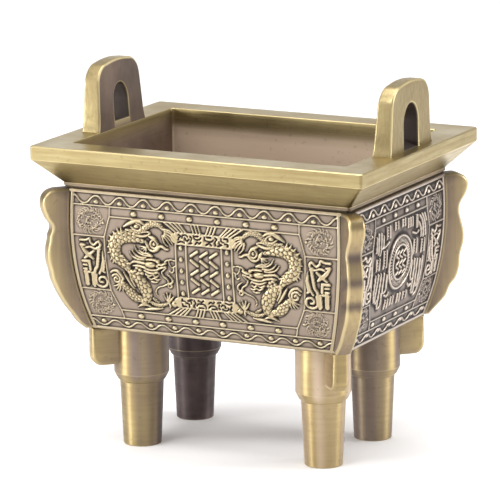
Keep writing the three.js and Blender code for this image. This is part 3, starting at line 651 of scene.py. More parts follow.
class Wall:
    """Height field of one wall's relief, over the way along the wall and the height z."""

    def __init__(self, long):
        self.depth = BODY_HALF_WIDTH if long else BODY_HALF_LENGTH
        # Reach of the dark patina and painted shade in creases and beside forms, and the depth at which it is
        # full
        self.crease, self.shadow, self.shade = (0.35, 0.6, 0.17) if long else (0.45, 1.0, 0.08)
        self.span = BODY_HALF_LENGTH if long else BODY_HALF_WIDTH
        rows = int(round((BODY_TOP - UNDERSIDE) / CELL))
        columns = int(round(2 * (self.span - FLANGE_FACE) / CELL))
        heights = np.linspace(UNDERSIDE, BODY_TOP, rows + 1)
        self.half = self.span - inset(heights) - FLANGE_FACE + 1.0
        self.along = np.linspace(-1, 1, columns + 1)[None, :] * self.half[:, None]
        self.z = np.repeat(heights[:, None], columns + 1, axis=1)
        self.height = np.zeros_like(self.z)
        self.gold = np.zeros_like(self.z)
        self.warm = (0.75 if long else 0.3) * np.clip((46.5 - self.z) / 3, 0, 1)
        self.drawn = np.zeros_like(self.z)
        self.dark = (0.15 if long else 0.6) * np.clip((self.z - 90.9) / 0.4, 0, 1)

    def edge(self, z):
        """Half the width of the wall between the flanges' faces."""
        return float(self.span - inset(z) - FLANGE_FACE)

    def window(self, points, reach):
        """Slices of the rows and columns that hold everything within reach of the points."""
        low = points.min(axis=0) - reach
        high = points.max(axis=0) + reach
        last_row, last_column = self.z.shape[0] - 1, self.z.shape[1] - 1
        scale = last_row / (BODY_TOP - UNDERSIDE)
        first = int(np.clip(math.floor((low[1] - UNDERSIDE) * scale), 0, last_row))
        final = int(np.clip(math.ceil((high[1] - UNDERSIDE) * scale), 0, last_row)) + 1
        halves = self.half[first:final]
        ends = [value / h for value in (low[0], high[0]) for h in (halves.min(), halves.max())]
        left = int(np.clip(math.floor((min(ends) + 1) / 2 * last_column), 0, last_column))
        right = int(np.clip(math.ceil((max(ends) + 1) / 2 * last_column), 0, last_column)) + 1
        return slice(first, final), slice(left, right)

    def nearest(self, points, window):
        """Distance to a line, the way run along it, and the distance with its side's sign."""
        along, z = self.along[window], self.z[window]
        best = np.full(along.shape, 1e9)
        run = np.zeros(along.shape)
        side = np.zeros(along.shape)
        done = 0.0
        for p, d in zip(points[:-1], np.diff(points, axis=0)):
            length = float(np.hypot(*d))
            if length < 1e-9:
                continue
            t = np.clip(((along - p[0]) * d[0] + (z - p[1]) * d[1]) / length ** 2, 0, 1)
            dx, dz = along - p[0] - t * d[0], z - p[1] - t * d[1]
            distance = np.hypot(dx, dz)
            near = distance < best
            best[near] = distance[near]
            run[near] = (done + t * length)[near]
            side[near] = np.where(d[0] * dz - d[1] * dx < 0, -distance, distance)[near]
            done += length
        return best, run, side, done

    def raise_to(self, window, height, gold, line=None):
        """Raise the field where it is lower; line is painted shade drawn on the raised form."""
        old = self.height[window]
        new = height > old
        old[new] = height[new]
        self.gold[window][new] = gold
        self.drawn[window][new] = 0 if line is None else line[new]

    def stroke(self, points, width, height, form="flat", gold=0.7, curve=True):
        """Raised line; width is one number or several along its way."""
        points = smooth(points) if curve else np.asarray(points, float)
        widths = np.atleast_1d(width).astype(float)
        window = self.window(points, widths.max() / 2 + 0.5)
        distance, run, _, total = self.nearest(points, window)
        half = np.interp(run / total, np.linspace(0, 1, len(widths)), widths) / 2
        if form == "round":
            raised = height * np.sqrt(np.clip(1 - (distance / half) ** 2, 0, 1))
        else:
            raised = height * np.clip((half - distance) / 0.22 + 0.5, 0, 1)
        self.raise_to(window, raised, gold)

    def line(self, points, width=0.42, height=0.45, gold=0.3):
        """Raised line that runs straight from point to point."""
        self.stroke(points, width, height, gold=gold, curve=False)

    def cut(self, points, width, depth, curve=True):
        """Hollow line, cut into what was raised before."""
        points = smooth(points) if curve else np.asarray(points, float)
        window = self.window(points, width)
        distance, _, _, _ = self.nearest(points, window)
        hollow = depth * np.clip((width / 2 - distance) / 0.3 + 0.5, 0, 1)
        self.height[window] = np.maximum(self.height[window] - hollow, -0.1)

    def dome(self, along, z, radius, height=0.8, stretch=1.2, gold=1.0):
        """Bead, wider than high by the stretch."""
        window = self.window(np.array([[along, z]]), radius * max(stretch, 1) + 0.3)
        r = np.hypot((self.along[window] - along) / stretch, self.z[window] - z) / radius
        self.raise_to(window, height * np.sqrt(np.clip(1 - r ** 2, 0, 1)), gold)

    def ring(self, along, z, radius, width, height, gold):
        turns = np.linspace(0, 2 * math.pi, 60)
        circle = np.column_stack([along + radius * np.cos(turns), z + radius * np.sin(turns)])
        self.line(circle, width, height, gold)

    def spiral(self, along, z, first, last, start, turns, width, height, gold=0.8):
        """Coil from the first radius to the last."""
        share = np.linspace(0, 1, int(24 * abs(turns)) + 6)
        angle = start + turns * 2 * math.pi * share
        radius = first + (last - first) * share
        points = np.column_stack([along + radius * np.cos(angle), z + radius * np.sin(angle)])
        self.stroke(points, width, height, "round", gold, curve=False)

    def scaled(self, points, width, height, size=1.5, gold=1.0):
        """Rounded body with overlapping scales."""
        points = smooth(points)
        widths = np.atleast_1d(width).astype(float)
        window = self.window(points, widths.max() / 2 + 0.3)
        distance, run, side, total = self.nearest(points, window)
        half = np.interp(run / total, np.linspace(0, 1, len(widths)), widths) / 2
        crown = np.sqrt(np.clip(1 - (distance / half) ** 2, 0, 1))
        scales = np.full_like(run, 0.1)
        line = np.zeros_like(run)
        for shift in (0, 1):
            row = np.floor(run / size) - shift
            ahead = run / size - row
            across = side / size + 0.5 * (row % 2)
            across -= np.round(across)
            reach = np.hypot(ahead / 1.55, across / 0.6)
            scales = np.where(reach < 1, 0.15 + 0.85 * ahead / 1.55 - 0.5 * across ** 2, scales)
            # Painted shade in the crevice round the tip of each scale
            if shift:
                line = np.where((reach > 1) & (reach < 1.22), 0.8, line)
        self.raise_to(window, crown * height * (0.5 + 0.5 * scales), gold, line)

    def mirrored(self):
        """The same wall seen from its middle the other way, so that a figure is drawn once."""
        return Mirror(self)

    def object(self, name, quarter_turns, material):
        """The relief as a closed mesh that faces a quarter turn of the vessel."""
        height = blur(self.height, 0.45)
        wide = blur(self.height, self.shadow / CELL)
        near = blur(self.height, self.crease / CELL)
        # Dark patina and painted shade in creases and beside raised forms
        cavity = np.clip(np.maximum((wide - height - 0.02) / self.shade, (near - height - 0.01) / 0.09), 0, 1)
        # Painted shade in the crevices between scales
        cavity = np.maximum(cavity, blur(self.drawn, 0.4))
        cavity = np.maximum(cavity, self.dark * np.clip(1 - height / 0.2, 0, 1))
        # Painted highlight on convex edges
        crest = np.clip((height - near - 0.03) / 0.12, 0, 1)
        rise = np.clip((height - 0.08) / 0.3, 0, 1)
        gold = np.maximum(rise * blur(self.gold, 0.45), self.warm)
        out = self.depth - inset(self.z) + height
        rows, columns = self.z.shape
        cos, sin = ((1, 0), (0, 1), (-1, 0), (0, -1))[quarter_turns]

        def place(along, out_by, z):
            return np.column_stack([
                (along * cos + out_by * sin).ravel(), (along * sin - out_by * cos).ravel(), z.ravel(),
            ])

        front = place(self.along, out, self.z)
        sunk = self.depth - inset(self.z[:, 0]) - 1.5
        back = np.vstack([place(self.along[:, end], sunk, self.z[:, 0]) for end in (0, -1)])
        index = np.arange(rows * columns).reshape(rows, columns)
        grid = np.stack([index[:-1, :-1], index[:-1, 1:], index[1:, 1:], index[1:, :-1]], axis=-1)
        left = rows * columns + np.arange(rows)
        right = left + rows
        faces = grid.reshape(-1, 4).tolist()
        for i in range(rows - 1):
            faces.append((index[i, 0], index[i + 1, 0], left[i + 1], left[i]))
            faces.append((index[i + 1, -1], index[i, -1], right[i], right[i + 1]))
            faces.append((left[i], left[i + 1], right[i + 1], right[i]))
        faces.append((*index[0, ::-1].tolist(), left[0], right[0]))
        faces.append((*index[-1].tolist(), right[-1], left[-1]))
        fields = {"rise": rise, "gold": gold, "crest": crest, "cavity": cavity}
        attributes = {key: np.append(field.ravel(), np.zeros(2 * rows)) for key, field in fields.items()}
        return new_mesh(name, np.vstack([front, back]), faces, material, attributes)


class Mirror:
    """Draws on a wall with left and right changed over."""

    def __init__(self, wall):
        self.wall = wall

    def __getattr__(self, name):
        method = getattr(self.wall, name)

        def flipped(first, *rest, **named):
            if name in ("dome", "ring", "spiral"):
                first = -first
            else:
                first = [(-a, z) for a, z in first]
            if name == "spiral":
                z, inner, outer, start, turns, *rest = rest
                rest = (z, inner, outer, math.pi - start, -turns, *rest)
            return method(first, *rest, **named)
        return flipped


def wave(wall, middle, swing, bows_up, count, pitch, dot_z):
    """Running wave between the borders with a bead in each bow."""
    reach = wall.edge(middle)
    along = np.linspace(-reach, reach, 240)
    phase = np.cos(2 * math.pi * (along / pitch - 0.5))
    shape = np.sign(phase) * np.abs(phase) ** 0.85
    z = middle + (swing if bows_up else -swing) * shape
    wall.line(np.column_stack([along, z]), 0.5, 0.5, 0.4)
    for i in range(count):
        a = (i - (count - 1) / 2) * pitch
        wall.dome(a, dot_z, 0.8, 0.7, 1.3, 0.9)


# Width of a side column at heights from the bottom up
COLUMN_WIDTHS = {BOTTOM_LINE: 14.4, LOWER_LINE: 14.4, PANELS[1]: 12.6, PANELS[0]: 13.2, UPPER_LINE: 15.4,
                 TOP_LINE: 15.4}


def column_line(wall, z):
    """How far from the wall's middle a side column starts."""
    return wall.edge(z) - float(np.interp(z, list(COLUMN_WIDTHS), list(COLUMN_WIDTHS.values())))


def frame_lines(wall):
    """Border round the wall, lines under and over the waves, and lines of the side columns."""
    edge = wall.edge
    for z in (95.65, 45.2):
        wall.line([(-edge(z) - 1, z), (edge(z) + 1, z)], 1.2)
    for z in (TOP_LINE, BOTTOM_LINE):
        wall.line([(-edge(z), z), (edge(z), z)])
    for z in (UPPER_LINE, LOWER_LINE):
        wall.line([(-column_line(wall, z), z), (column_line(wall, z), z)])
    for side in (-1, 1):
        wall.line([(side * (edge(z) - 0.25), z) for z in np.linspace(45, 95.8, 30)], 1.2)
        wall.line([(side * column_line(wall, z), z) for z in np.linspace(TOP_LINE, BOTTOM_LINE, 60)])
        for z in PANELS:
            wall.line([(side * column_line(wall, z), z), (side * edge(z), z)])


# Hooked form of the side columns of the long walls, on their left, and its strokes' widths
FRET = [
    ([(-49.3, 78.0), (-47.3, 78.0)], 0.8),
    ([(-46.7, 78.2), (-45.5, 78.6), (-45.0, 77.3), (-43.8, 76.5), (-42.7, 77.4), (-41.8, 77.8), (-41.2, 77.0),
      (-41.5, 76.0), (-42.5, 75.5)], 0.85),
    ([(-49.1, 76.3), (-47.6, 76.2)], 0.8),
    ([(-47.0, 75.3), (-45.2, 75.7), (-43.4, 75.2), (-41.4, 75.2)], 0.75),
    ([(-49.0, 76.0), (-47.2, 73.7), (-45.2, 72.2), (-44.3, 71.4)], [0.9, 1.5, 1.6, 0.9]),
    ([(-43.9, 74.3), (-45.5, 73.0), (-47.7, 71.4)], [0.8, 1.2, 0.9]),
    ([(-41.9, 75.0), (-42.3, 72.0), (-42.9, 68.6), (-43.9, 66.8), (-44.4, 61.3)], 1.15),
    ([(-40.4, 74.2), (-40.1, 71.0), (-40.7, 67.9)], [0.3, 1.3, 1.7]),
    ([(-41.0, 68.1), (-42.1, 66.1)], 0.9),
    ([(-48.6, 70.3), (-45.9, 70.3), (-45.6, 67.3)], 1.05),
    ([(-48.4, 68.85), (-46.9, 68.8)], 0.75),
    ([(-48.3, 67.4), (-46.9, 67.4)], 0.75),
    ([(-48.2, 66.2), (-45.8, 66.3)], 0.9),
    ([(-47.5, 66.4), (-47.3, 61.9)], 1.7),
    ([(-44.9, 66.0), (-44.9, 61.8)], 1.0),
    ([(-41.2, 67.4), (-39.9, 66.7)], 0.8),
    ([(-43.4, 65.6), (-43.6, 62.7), (-42.5, 61.4), (-40.5, 61.3), (-39.2, 62.5), (-39.5, 64.3), (-41.0, 64.9),
      (-42.3, 64.2), (-42.0, 63.0), (-41.1, 62.9)], 0.85),
]


def fret(wall, side):
    """Hooked form of the left or right side column."""
    shift = BODY_HALF_LENGTH - wall.span
    for course, width in FRET:
        points = [(-side * (a + shift), z) for a, z in course]
        wall.stroke(points, width, 0.7, gold=0.75, curve=len(points) > 3)


def curled_beast(wall, along, z, radius):
    """Small low roundel of a curled dragon: a coil, mane and clouds, all in fine lines."""
    stretch, tufts, clouds = 1.05, 22, 34

    def spot(r, t):
        return along + stretch * r * math.cos(t), z + r * math.sin(t)

    for body in (
        [(0.55, 0.5), (0.1, 0.7), (-0.45, 0.5), (-0.65, 0.05)],
        [(-0.55, -0.3), (-0.1, -0.6), (0.4, -0.5), (0.6, -0.1)],
        [(0.35, 0.1), (-0.05, 0.25), (-0.25, -0.05), (0.05, -0.25)],
    ):
        place = [(along + stretch * radius * x, z + radius * y) for x, y in body]
        wall.scaled(place, [0.6, 1.2, 1.1, 0.5], 0.34, 0.7, 0.1)
    for i in range(tufts):
        t = 2 * math.pi * (i + rng.uniform(-0.3, 0.3)) / tufts
        near, far = radius * rng.uniform(0.6, 0.85), radius * rng.uniform(0.92, 1.04)
        lean = rng.uniform(0.15, 0.45)
        points = [spot(near, t), spot((near + far) / 2, t + lean * 0.3), spot(far, t + lean)]
        wall.stroke(points, [0.5, 0.4, 0.25], 0.26, "round", 0.1)
    for _ in range(clouds):
        t, r = rng.uniform(0, 2 * math.pi), radius * math.sqrt(rng.uniform(0, 0.85))
        a, b = spot(r, t)
        start, sweep, bow = rng.uniform(0, 6.3), rng.uniform(1.5, 4.0), rng.uniform(0.35, 0.75)
        angles = np.linspace(start, start + sweep, 8)
        arc = np.column_stack([a + bow * np.cos(angles), b + bow * np.sin(angles)])
        wall.stroke(arc, 0.3, rng.uniform(0.2, 0.36), "round", 0.1, curve=False)
    wall.dome(along + (1.02 if along < 0 else -1.02) * radius, z - 0.1 * radius, 0.5, 0.5, 1.2, 0.9)


def side_columns(wall):
    """Hooked form between two roundels at each side."""
    for side in (-1, 1):
        fret(wall, side)
        for z, radius in ((85.3, 5.1), (55.1, 4.9)):
            middle = (column_line(wall, z) + wall.edge(z)) / 2 - 0.2
            curled_beast(wall, side * middle, z, radius)


# Hollows of the cloud scrolls in the tablet's bands, on its upper one
CLOUDS = [
    [(-9.7, 83.3), (-9.0, 82.8), (-9.6, 82.2), (-9.8, 81.5)],
    [(-8.4, 82.3), (-8.1, 83.1), (-7.0, 83.3), (-6.2, 82.8)], [(-7.5, 82.3), (-7.1, 82.2)],
    [(-7.3, 81.6), (-6.3, 81.3), (-5.6, 81.9)], [(-5.1, 83.0), (-4.6, 82.3), (-5.0, 81.3)],
    [(-3.9, 83.3), (-3.6, 82.4), (-2.6, 82.0), (-1.5, 82.2), (-0.9, 82.8)],
    [(-10.0, 80.5), (-8.8, 80.9), (-7.4, 80.5)], [(-5.6, 80.5), (-4.6, 80.6)],
    [(-3.0, 80.5), (-2.4, 81.2), (-1.7, 80.7), (-1.0, 81.2)], [(-3.2, 83.2), (-2.0, 83.3)],
    [(0.5, 83.2), (0.6, 82.3), (1.5, 81.8), (3.2, 81.8), (4.0, 82.5)],
    [(1.2, 80.5), (2.2, 81.1), (3.2, 80.5)], [(4.7, 83.3), (5.3, 82.8), (4.5, 81.7), (4.9, 80.6)],
    [(5.7, 80.5), (6.6, 80.6)], [(1.4, 83.3), (3.0, 83.3)], [(7.0, 83.2), (7.1, 82.2), (8.1, 81.9)],
    [(8.2, 83.3), (9.5, 83.2), (9.7, 82.4)], [(6.2, 82.0), (6.2, 81.3), (7.3, 81.0)],
    [(8.6, 81.4), (9.7, 81.2), (9.6, 80.6)],
]

# Feet and heads of the rays over the tablet, on one side
RAYS = [(1.1, 2.2), (2.4, 3.5), (3.7, 4.9), (6.8, 9.6), (7.9, 11.3), (9.4, 13.2), (11.0, 15.4)]


def cloud_band(wall, low, high, half, turned):
    """Band of close cloud scrolls between two lines."""
    middle = (low + high) / 2
    wall.line([(-half, middle), (half, middle)], high - low - 0.3, 0.6, 0.8)
    for line in CLOUDS:
        points = [(-a if turned else a, middle + (81.9 - z if turned else z - 81.9)) for a, z in line]
        wall.cut(points, 0.62, 0.8, curve=len(points) > 2)


def stroke_rows(wall, middle, width, height, rows, columns, thick=1.0):
    """Slanting strokes in rows, which stand for an inscription."""
    for row in range(rows):
        z = middle + height * ((row + 0.5) / rows - 0.5)
        lean = 1 if row % 2 == 0 else -1
        for column in range(columns):
            a = width * ((column + 0.5) / columns - 0.5)
            reach, lift = width / columns * 0.34, height / rows * 0.26 * lean
            wall.line([(a - reach, z - lift), (a + reach, z + lift)], thick, 0.7, 0.95)


def tablet(wall):
    """Framed tablet in the middle, with a cloud band and rays over and under it."""
    half, inner = 11.1, 7.0
    high, low, band_high, band_low = 83.8, 56.3, 79.8, 60.1
    for side in (-1, 1):
        wall.line([(side * half, high), (side * half, low)], 0.5, 0.55, 0.4)
        wall.line([(side * inner, band_high), (side * inner, band_low)], 0.5, 0.5, 0.4)
        for z in (78.3, 74.2, 70.0, 65.8, 61.6):
            wall.dome(side * 9.1, z, 0.95, 0.75, 0.8, 0.9)
    for z in (high, band_high, band_low, low):
        wall.line([(-half, z), (half, z)], 0.5, 0.55, 0.4)
    cloud_band(wall, band_high, high, half, False)
    cloud_band(wall, low, band_low, half, True)
    stroke_rows(wall, (band_high + band_low) / 2, 11.4, 17.0, 5, 3)
    for near, far in ((84.1, 87.1), (56.0, 53.2)):
        for foot, head in RAYS:
            for side in (-1, 1):
                wall.line([(side * foot, near), (side * head, far)], 0.6, 0.6, 0.4)


def strand(wall, points, width, height=0.75, gold=0.85):
    """Fine raised strand that may thin along its way."""
    wall.stroke(points, width, height, "round", gold)


def dragon_tail(wall):
    """Fin and tail over the back, with the tuft at its end."""
    strand(wall, [(-31.6, 84.2), (-30.2, 85.1), (-28.6, 85.9), (-26.8, 86.7), (-25.0, 86.5), (-23.6, 85.7)],
           [0.6, 1.5, 1.7, 1.4, 0.8], 0.8)
    wall.dome(-26.5, 84.7, 0.85, 0.95, 1.3, 0.9)
    strand(wall, [(-28.6, 84.4), (-27.4, 83.6), (-25.8, 83.3), (-24.6, 83.9), (-24.9, 85.2), (-26.4, 85.9)],
           0.6, 0.8)
    wall.scaled([(-30.6, 83.2), (-28.4, 82.9), (-26.0, 82.6), (-23.8, 83.9), (-21.5, 85.6), (-19.2, 86.1),
                 (-17.2, 85.7), (-15.8, 84.5)], [0.9, 1.7, 2.0, 2.4, 2.5, 2.3, 2.0, 1.5], 0.85, 0.85, 0.8)
    strand(wall, [(-27.8, 81.9), (-25.2, 81.3), (-22.8, 81.6), (-21.0, 82.5)], [0.6, 1.2, 1.1, 0.6])
    strand(wall, [(-24.6, 82.6), (-22.6, 83.1), (-20.9, 82.8)], [0.5, 0.8, 0.5])
    for start, end, bend in (
        ((-15.4, 84.6), (-11.4, 82.7), 0.5), ((-15.2, 84.0), (-11.3, 81.6), 0.5),
        ((-15.2, 83.3), (-11.5, 80.4), 0.4), ((-15.3, 82.7), (-12.1, 79.4), 0.3),
        ((-15.6, 82.2), (-13.0, 78.8), 0.1), ((-16.2, 82.3), (-14.2, 78.5), -0.5),
    ):
        middle = ((start[0] + end[0]) / 2 + bend * 0.6, (start[1] + end[1]) / 2 + bend)
        strand(wall, [start, middle, end], [0.75, 0.65, 0.25], 0.8, 0.95)


def dragon_body(wall):
    """Scaled body in two runs, with spines along its back and barbs on its chest."""
    wall.scaled([(-24.0, 79.5), (-27.0, 80.1), (-30.0, 80.6), (-33.0, 80.1), (-35.2, 78.2), (-35.5, 75.5),
                 (-34.7, 72.9), (-32.7, 71.1), (-30.9, 69.6), (-29.8, 67.8)],
                [1.4, 2.8, 4.1, 4.8, 5.1, 5.1, 4.7, 4.2, 3.2, 1.8], 1.2, 1.65)
    wall.scaled([(-29.2, 67.6), (-27.4, 66.1), (-25.6, 64.4), (-24.3, 62.3), (-23.7, 60.2), (-24.0, 58.2),
                 (-25.2, 56.9)], [2.4, 3.8, 4.8, 5.2, 4.8, 3.8, 2.2], 1.2, 1.65)
    for root, tip in (
        ((-32.4, 82.6), (-32.7, 83.8)), ((-33.8, 82.3), (-34.4, 83.4)), ((-35.2, 81.3), (-36.1, 82.2)),
        ((-36.4, 80.0), (-37.5, 80.6)), ((-37.3, 78.4), (-38.2, 78.6)), ((-37.7, 76.4), (-38.4, 76.2)),
        ((-37.5, 74.4), (-38.4, 74.1)), ((-36.6, 72.4), (-37.4, 71.4)), ((-35.9, 71.6), (-36.5, 70.3)),
    ):
        strand(wall, [root, tip], [0.9, 0.3], 0.7)
    for root, tip in (
        ((-32.6, 73.4), (-31.4, 72.9)), ((-31.6, 72.2), (-30.3, 71.7)), ((-30.6, 70.9), (-29.3, 70.9)),
    ):
        strand(wall, [root, tip], [0.9, 0.35], 0.8)


def dragon_hind_leg(wall):
    """Haunch, long feathers, coil and claws."""
    wall.scaled([(-33.0, 63.4), (-31.6, 61.8), (-30.0, 59.9), (-28.3, 58.4), (-26.6, 57.9)],
                [1.6, 2.9, 3.9, 3.9, 2.6], 1.15, 1.2)
    strand(wall, [(-32.2, 67.5), (-31.0, 65.6), (-29.7, 63.5), (-28.4, 61.7)],
           [0.4, 1.1, 1.1, 0.5], 0.9, 0.8)
    strand(wall, [(-29.9, 67.0), (-29.2, 64.8), (-28.0, 62.6)], [0.5, 0.8, 0.5], 0.8, 0.8)
    wall.spiral(-35.3, 64.7, 1.9, 0.3, 2.6, -1.4, 0.95, 0.85)
    strand(wall, [(-37.5, 67.0), (-36.2, 67.8), (-34.6, 67.5), (-33.4, 66.3), (-32.8, 65.0), (-33.6, 63.6)],
           [0.8, 1.2, 1.1, 0.8])
    for points in (
        [(-34.0, 63.4), (-35.4, 62.3), (-36.8, 61.9)], [(-33.9, 63.2), (-35.0, 61.5), (-36.0, 60.5)],
        [(-33.8, 63.0), (-34.1, 61.4), (-34.8, 60.0)], [(-33.6, 63.2), (-33.0, 61.6), (-33.3, 60.2)],
    ):
        strand(wall, points, [0.7, 0.65, 0.25], 0.7)


def dragon_low_paw(wall):
    """Limb along the bottom, its claws and the ball."""
    wall.scaled([(-22.8, 57.4), (-20.8, 56.4), (-18.6, 56.3), (-16.8, 56.8), (-15.2, 57.6)],
                [0.8, 1.5, 1.7, 1.4, 0.9], 0.85, 0.7)
    strand(wall, [(-27.8, 54.9), (-26.0, 55.8), (-24.2, 56.0), (-22.6, 55.4)], [0.3, 1.3, 1.2, 0.5])
    strand(wall, [(-25.2, 54.1), (-22.4, 54.6), (-19.8, 54.9), (-17.8, 55.2)], [0.4, 1.2, 1.2, 0.4])
    wall.scaled([(-21.2, 58.6), (-20.2, 57.9), (-19.0, 57.4)], [0.7, 1.4, 0.6], 0.7, 0.6)
    for middle, tip in (
        ((-16.0, 59.0), (-16.9, 60.7)), ((-15.3, 59.6), (-15.6, 61.4)), ((-14.6, 59.6), (-14.1, 61.3)),
        ((-14.0, 58.9), (-12.9, 60.2)),
    ):
        strand(wall, [(-15.0, 57.8), middle, tip], [0.8, 0.7, 0.35], 0.8, 0.95)
    strand(wall, [(-15.0, 57.6), (-14.7, 56.4), (-14.9, 55.6)], [0.8, 0.8, 0.4])
    wall.dome(-13.0, 57.3, 1.25, 0.8, 1.0, 0.95)
    wall.cut([(-13.8, 57.9), (-13.0, 58.1), (-12.2, 57.6)], 0.3, 0.25)


def dragon_fore_paw(wall):
    """Petals round an oval palm, and claws."""
    strand(wall, [(-21.4, 81.6), (-20.4, 81.2), (-19.2, 80.6), (-18.1, 79.4)],
           [0.7, 1.5, 1.4, 0.7], 1.0, 1.0)
    wall.ring(-19.5, 78.9, 1.45, 0.7, 0.8, 0.9)
    wall.dome(-19.5, 78.9, 0.85, 0.9, 0.8, 1.0)
    strand(wall, [(-22.9, 79.6), (-22.2, 78.5), (-21.6, 77.2)], [0.7, 1.5, 0.7], 0.9, 0.95)
    strand(wall, [(-21.6, 76.9), (-20.2, 76.4), (-18.7, 76.8), (-17.4, 78.2), (-16.0, 78.1), (-14.9, 77.4),
                  (-14.0, 77.4)], [0.6, 1.3, 1.3, 1.2, 1.0, 0.7], 0.9, 1.0)
    for tip in ((-25.2, 77.6), (-24.7, 76.6), (-23.9, 75.9), (-22.9, 75.6)):
        strand(wall, [(-22.6, 77.6), tip], [0.6, 0.3], 0.75)


def dragon_head(wall):
    """Mane swept back, brow, eye, jaws and beard."""
    for points in (
        [(-27.4, 77.7), (-26.5, 76.0), (-25.0, 74.9), (-22.8, 74.5), (-20.6, 74.4)],
        [(-25.6, 76.2), (-24.2, 75.4), (-22.2, 75.2), (-20.5, 74.4)],
        [(-28.4, 75.9), (-27.0, 74.3), (-25.2, 73.6), (-23.0, 73.7)],
        [(-29.5, 75.3), (-28.2, 73.7), (-26.2, 72.9), (-23.8, 72.9)],
    ):
        strand(wall, points, [0.3, 0.65, 0.8, 0.8], 0.8, 0.9)
    strand(wall, [(-29.0, 71.4), (-27.2, 71.9), (-25.4, 71.7), (-23.8, 71.5)],
           [0.4, 1.0, 1.2, 1.0], 0.9, 0.95)
    strand(wall, [(-28.2, 70.3), (-26.4, 70.5), (-24.6, 70.2), (-23.2, 70.0)],
           [0.4, 1.0, 1.1, 0.8], 0.85, 0.95)
    strand(wall, [(-29.6, 70.4), (-28.6, 71.6), (-27.6, 72.4)], [0.3, 0.6, 0.3], 0.8)
    wall.dome(-21.4, 71.3, 1.3, 1.3, 1.75, 1.0)
    strand(wall, [(-22.7, 73.0), (-20.8, 73.2), (-19.0, 73.0)], [0.7, 1.1, 0.9], 1.2, 1.0)
    wall.dome(-18.2, 72.6, 0.75, 1.2, 1.1, 0.95)
    wall.dome(-18.5, 71.0, 0.7, 1.15, 1.0, 0.9)
    strand(wall, [(-17.9, 71.6), (-16.6, 71.6), (-15.2, 72.3)], [0.8, 1.2, 0.9], 1.1, 0.95)
    strand(wall, [(-18.0, 70.3), (-16.6, 70.6), (-15.2, 71.0)], [0.7, 1.0, 0.6], 1.0, 0.9)
    strand(wall, [(-24.2, 70.0), (-22.4, 69.4), (-20.4, 69.3), (-18.4, 69.7), (-17.0, 70.4)],
           [0.6, 0.9, 0.9, 0.8, 0.5], 0.95, 0.95)
    strand(wall, [(-16.9, 69.0), (-15.9, 69.8), (-15.1, 70.6)], [0.5, 0.7, 0.4], 0.85, 0.95)
    strand(wall, [(-23.9, 68.9), (-22.0, 68.2), (-20.2, 68.2), (-18.6, 68.9)],
           [0.6, 1.1, 1.0, 0.4], 0.9, 0.9)
    for x, z in ((-25.6, 68.9), (-26.8, 69.5), (-27.6, 68.4), (-26.2, 67.7), (-24.9, 67.7)):
        wall.dome(x, z, 0.65, 0.9, 1.2, 0.85)
    for points in (
        [(-23.4, 67.6), (-22.0, 67.0), (-20.9, 67.4)], [(-22.6, 66.6), (-21.4, 65.8), (-20.4, 66.3)],
        [(-20.3, 67.5), (-19.4, 66.8), (-18.4, 67.4)], [(-20.0, 66.3), (-18.8, 65.8), (-17.8, 66.2)],
        [(-21.2, 65.0), (-19.8, 64.8), (-18.7, 65.2)], [(-19.4, 68.2), (-18.5, 68.6), (-18.0, 68.0)],
    ):
        strand(wall, points, [0.8, 0.75, 0.35], 0.75, 0.9)


def dragon_whiskers(wall):
    """Whiskers and flames."""
    strand(wall, [(-16.0, 72.2), (-14.9, 73.3), (-13.2, 73.7), (-11.6, 73.5)], [0.5, 0.55, 0.4], 0.65)
    strand(wall, [(-14.0, 73.0), (-13.6, 71.8), (-12.8, 70.9), (-11.5, 71.5)], 0.45, 0.6, 0.6)
    strand(wall, [(-12.2, 70.8), (-12.3, 69.6), (-13.1, 69.0), (-13.7, 69.6)], 0.5, 0.6, 0.7)
    strand(wall, [(-17.0, 68.7), (-16.3, 67.3), (-15.0, 66.4), (-14.4, 65.4)], [0.5, 0.75, 0.6], 0.75)
    strand(wall, [(-14.7, 68.1), (-13.6, 67.3), (-12.8, 66.2), (-13.4, 65.1), (-14.8, 65.0)],
           [0.4, 0.7, 0.8, 0.6], 0.75)
    wall.ring(-14.0, 64.0, 0.65, 0.5, 0.7, 0.85)
    strand(wall, [(-15.0, 64.6), (-16.6, 63.8), (-18.4, 63.2), (-19.6, 62.1), (-19.9, 60.8), (-19.3, 59.8)],
           [0.6, 0.5, 0.4], 0.6)


def dragon(wall):
    """The dragon on the left of the tablet."""
    for part in (
        dragon_tail, dragon_body, dragon_hind_leg, dragon_low_paw, dragon_fore_paw, dragon_head,
        dragon_whiskers,
    ):
        part(wall)


def long_wall():
    """Front or back wall: tablet between two dragons."""
    wall = Wall(True)
    frame_lines(wall)
    wave(wall, 92.9, 1.45, True, 10, 9.5, 92.2)
    wave(wall, 47.5, 1.05, False, 10, 9.5, 47.95)
    for a in (5.5, 16.6, 27.7):
        for side in (-1, 1):
            wall.dome(side * a, 88.95, 0.95, 0.8, 1.3)
            wall.dome(side * a * 0.98, 51.2, 0.95, 0.8, 1.35)
    side_columns(wall)
    tablet(wall)
    dragon(wall)
    dragon(wall.mirrored())
    return wall


def barred(wall, left, right, high, low):
    """Block of close upright bars with rows of small dots between them."""
    bars = max(int(round((right - left) / 1.6)), 2)
    places = np.linspace(left + 0.3, right - 0.3, bars)
    for a in places:
        wall.line([(a, high - 0.3), (a, low + 0.3)], 0.62, 0.65, 0.4)
    for a in (places[:-1] + places[1:]) / 2:
        for z in np.arange(high - 0.5, low + 0.3, -1.05):
            wall.dome(a, z, 0.3, 0.5, 1.0, 0.3)


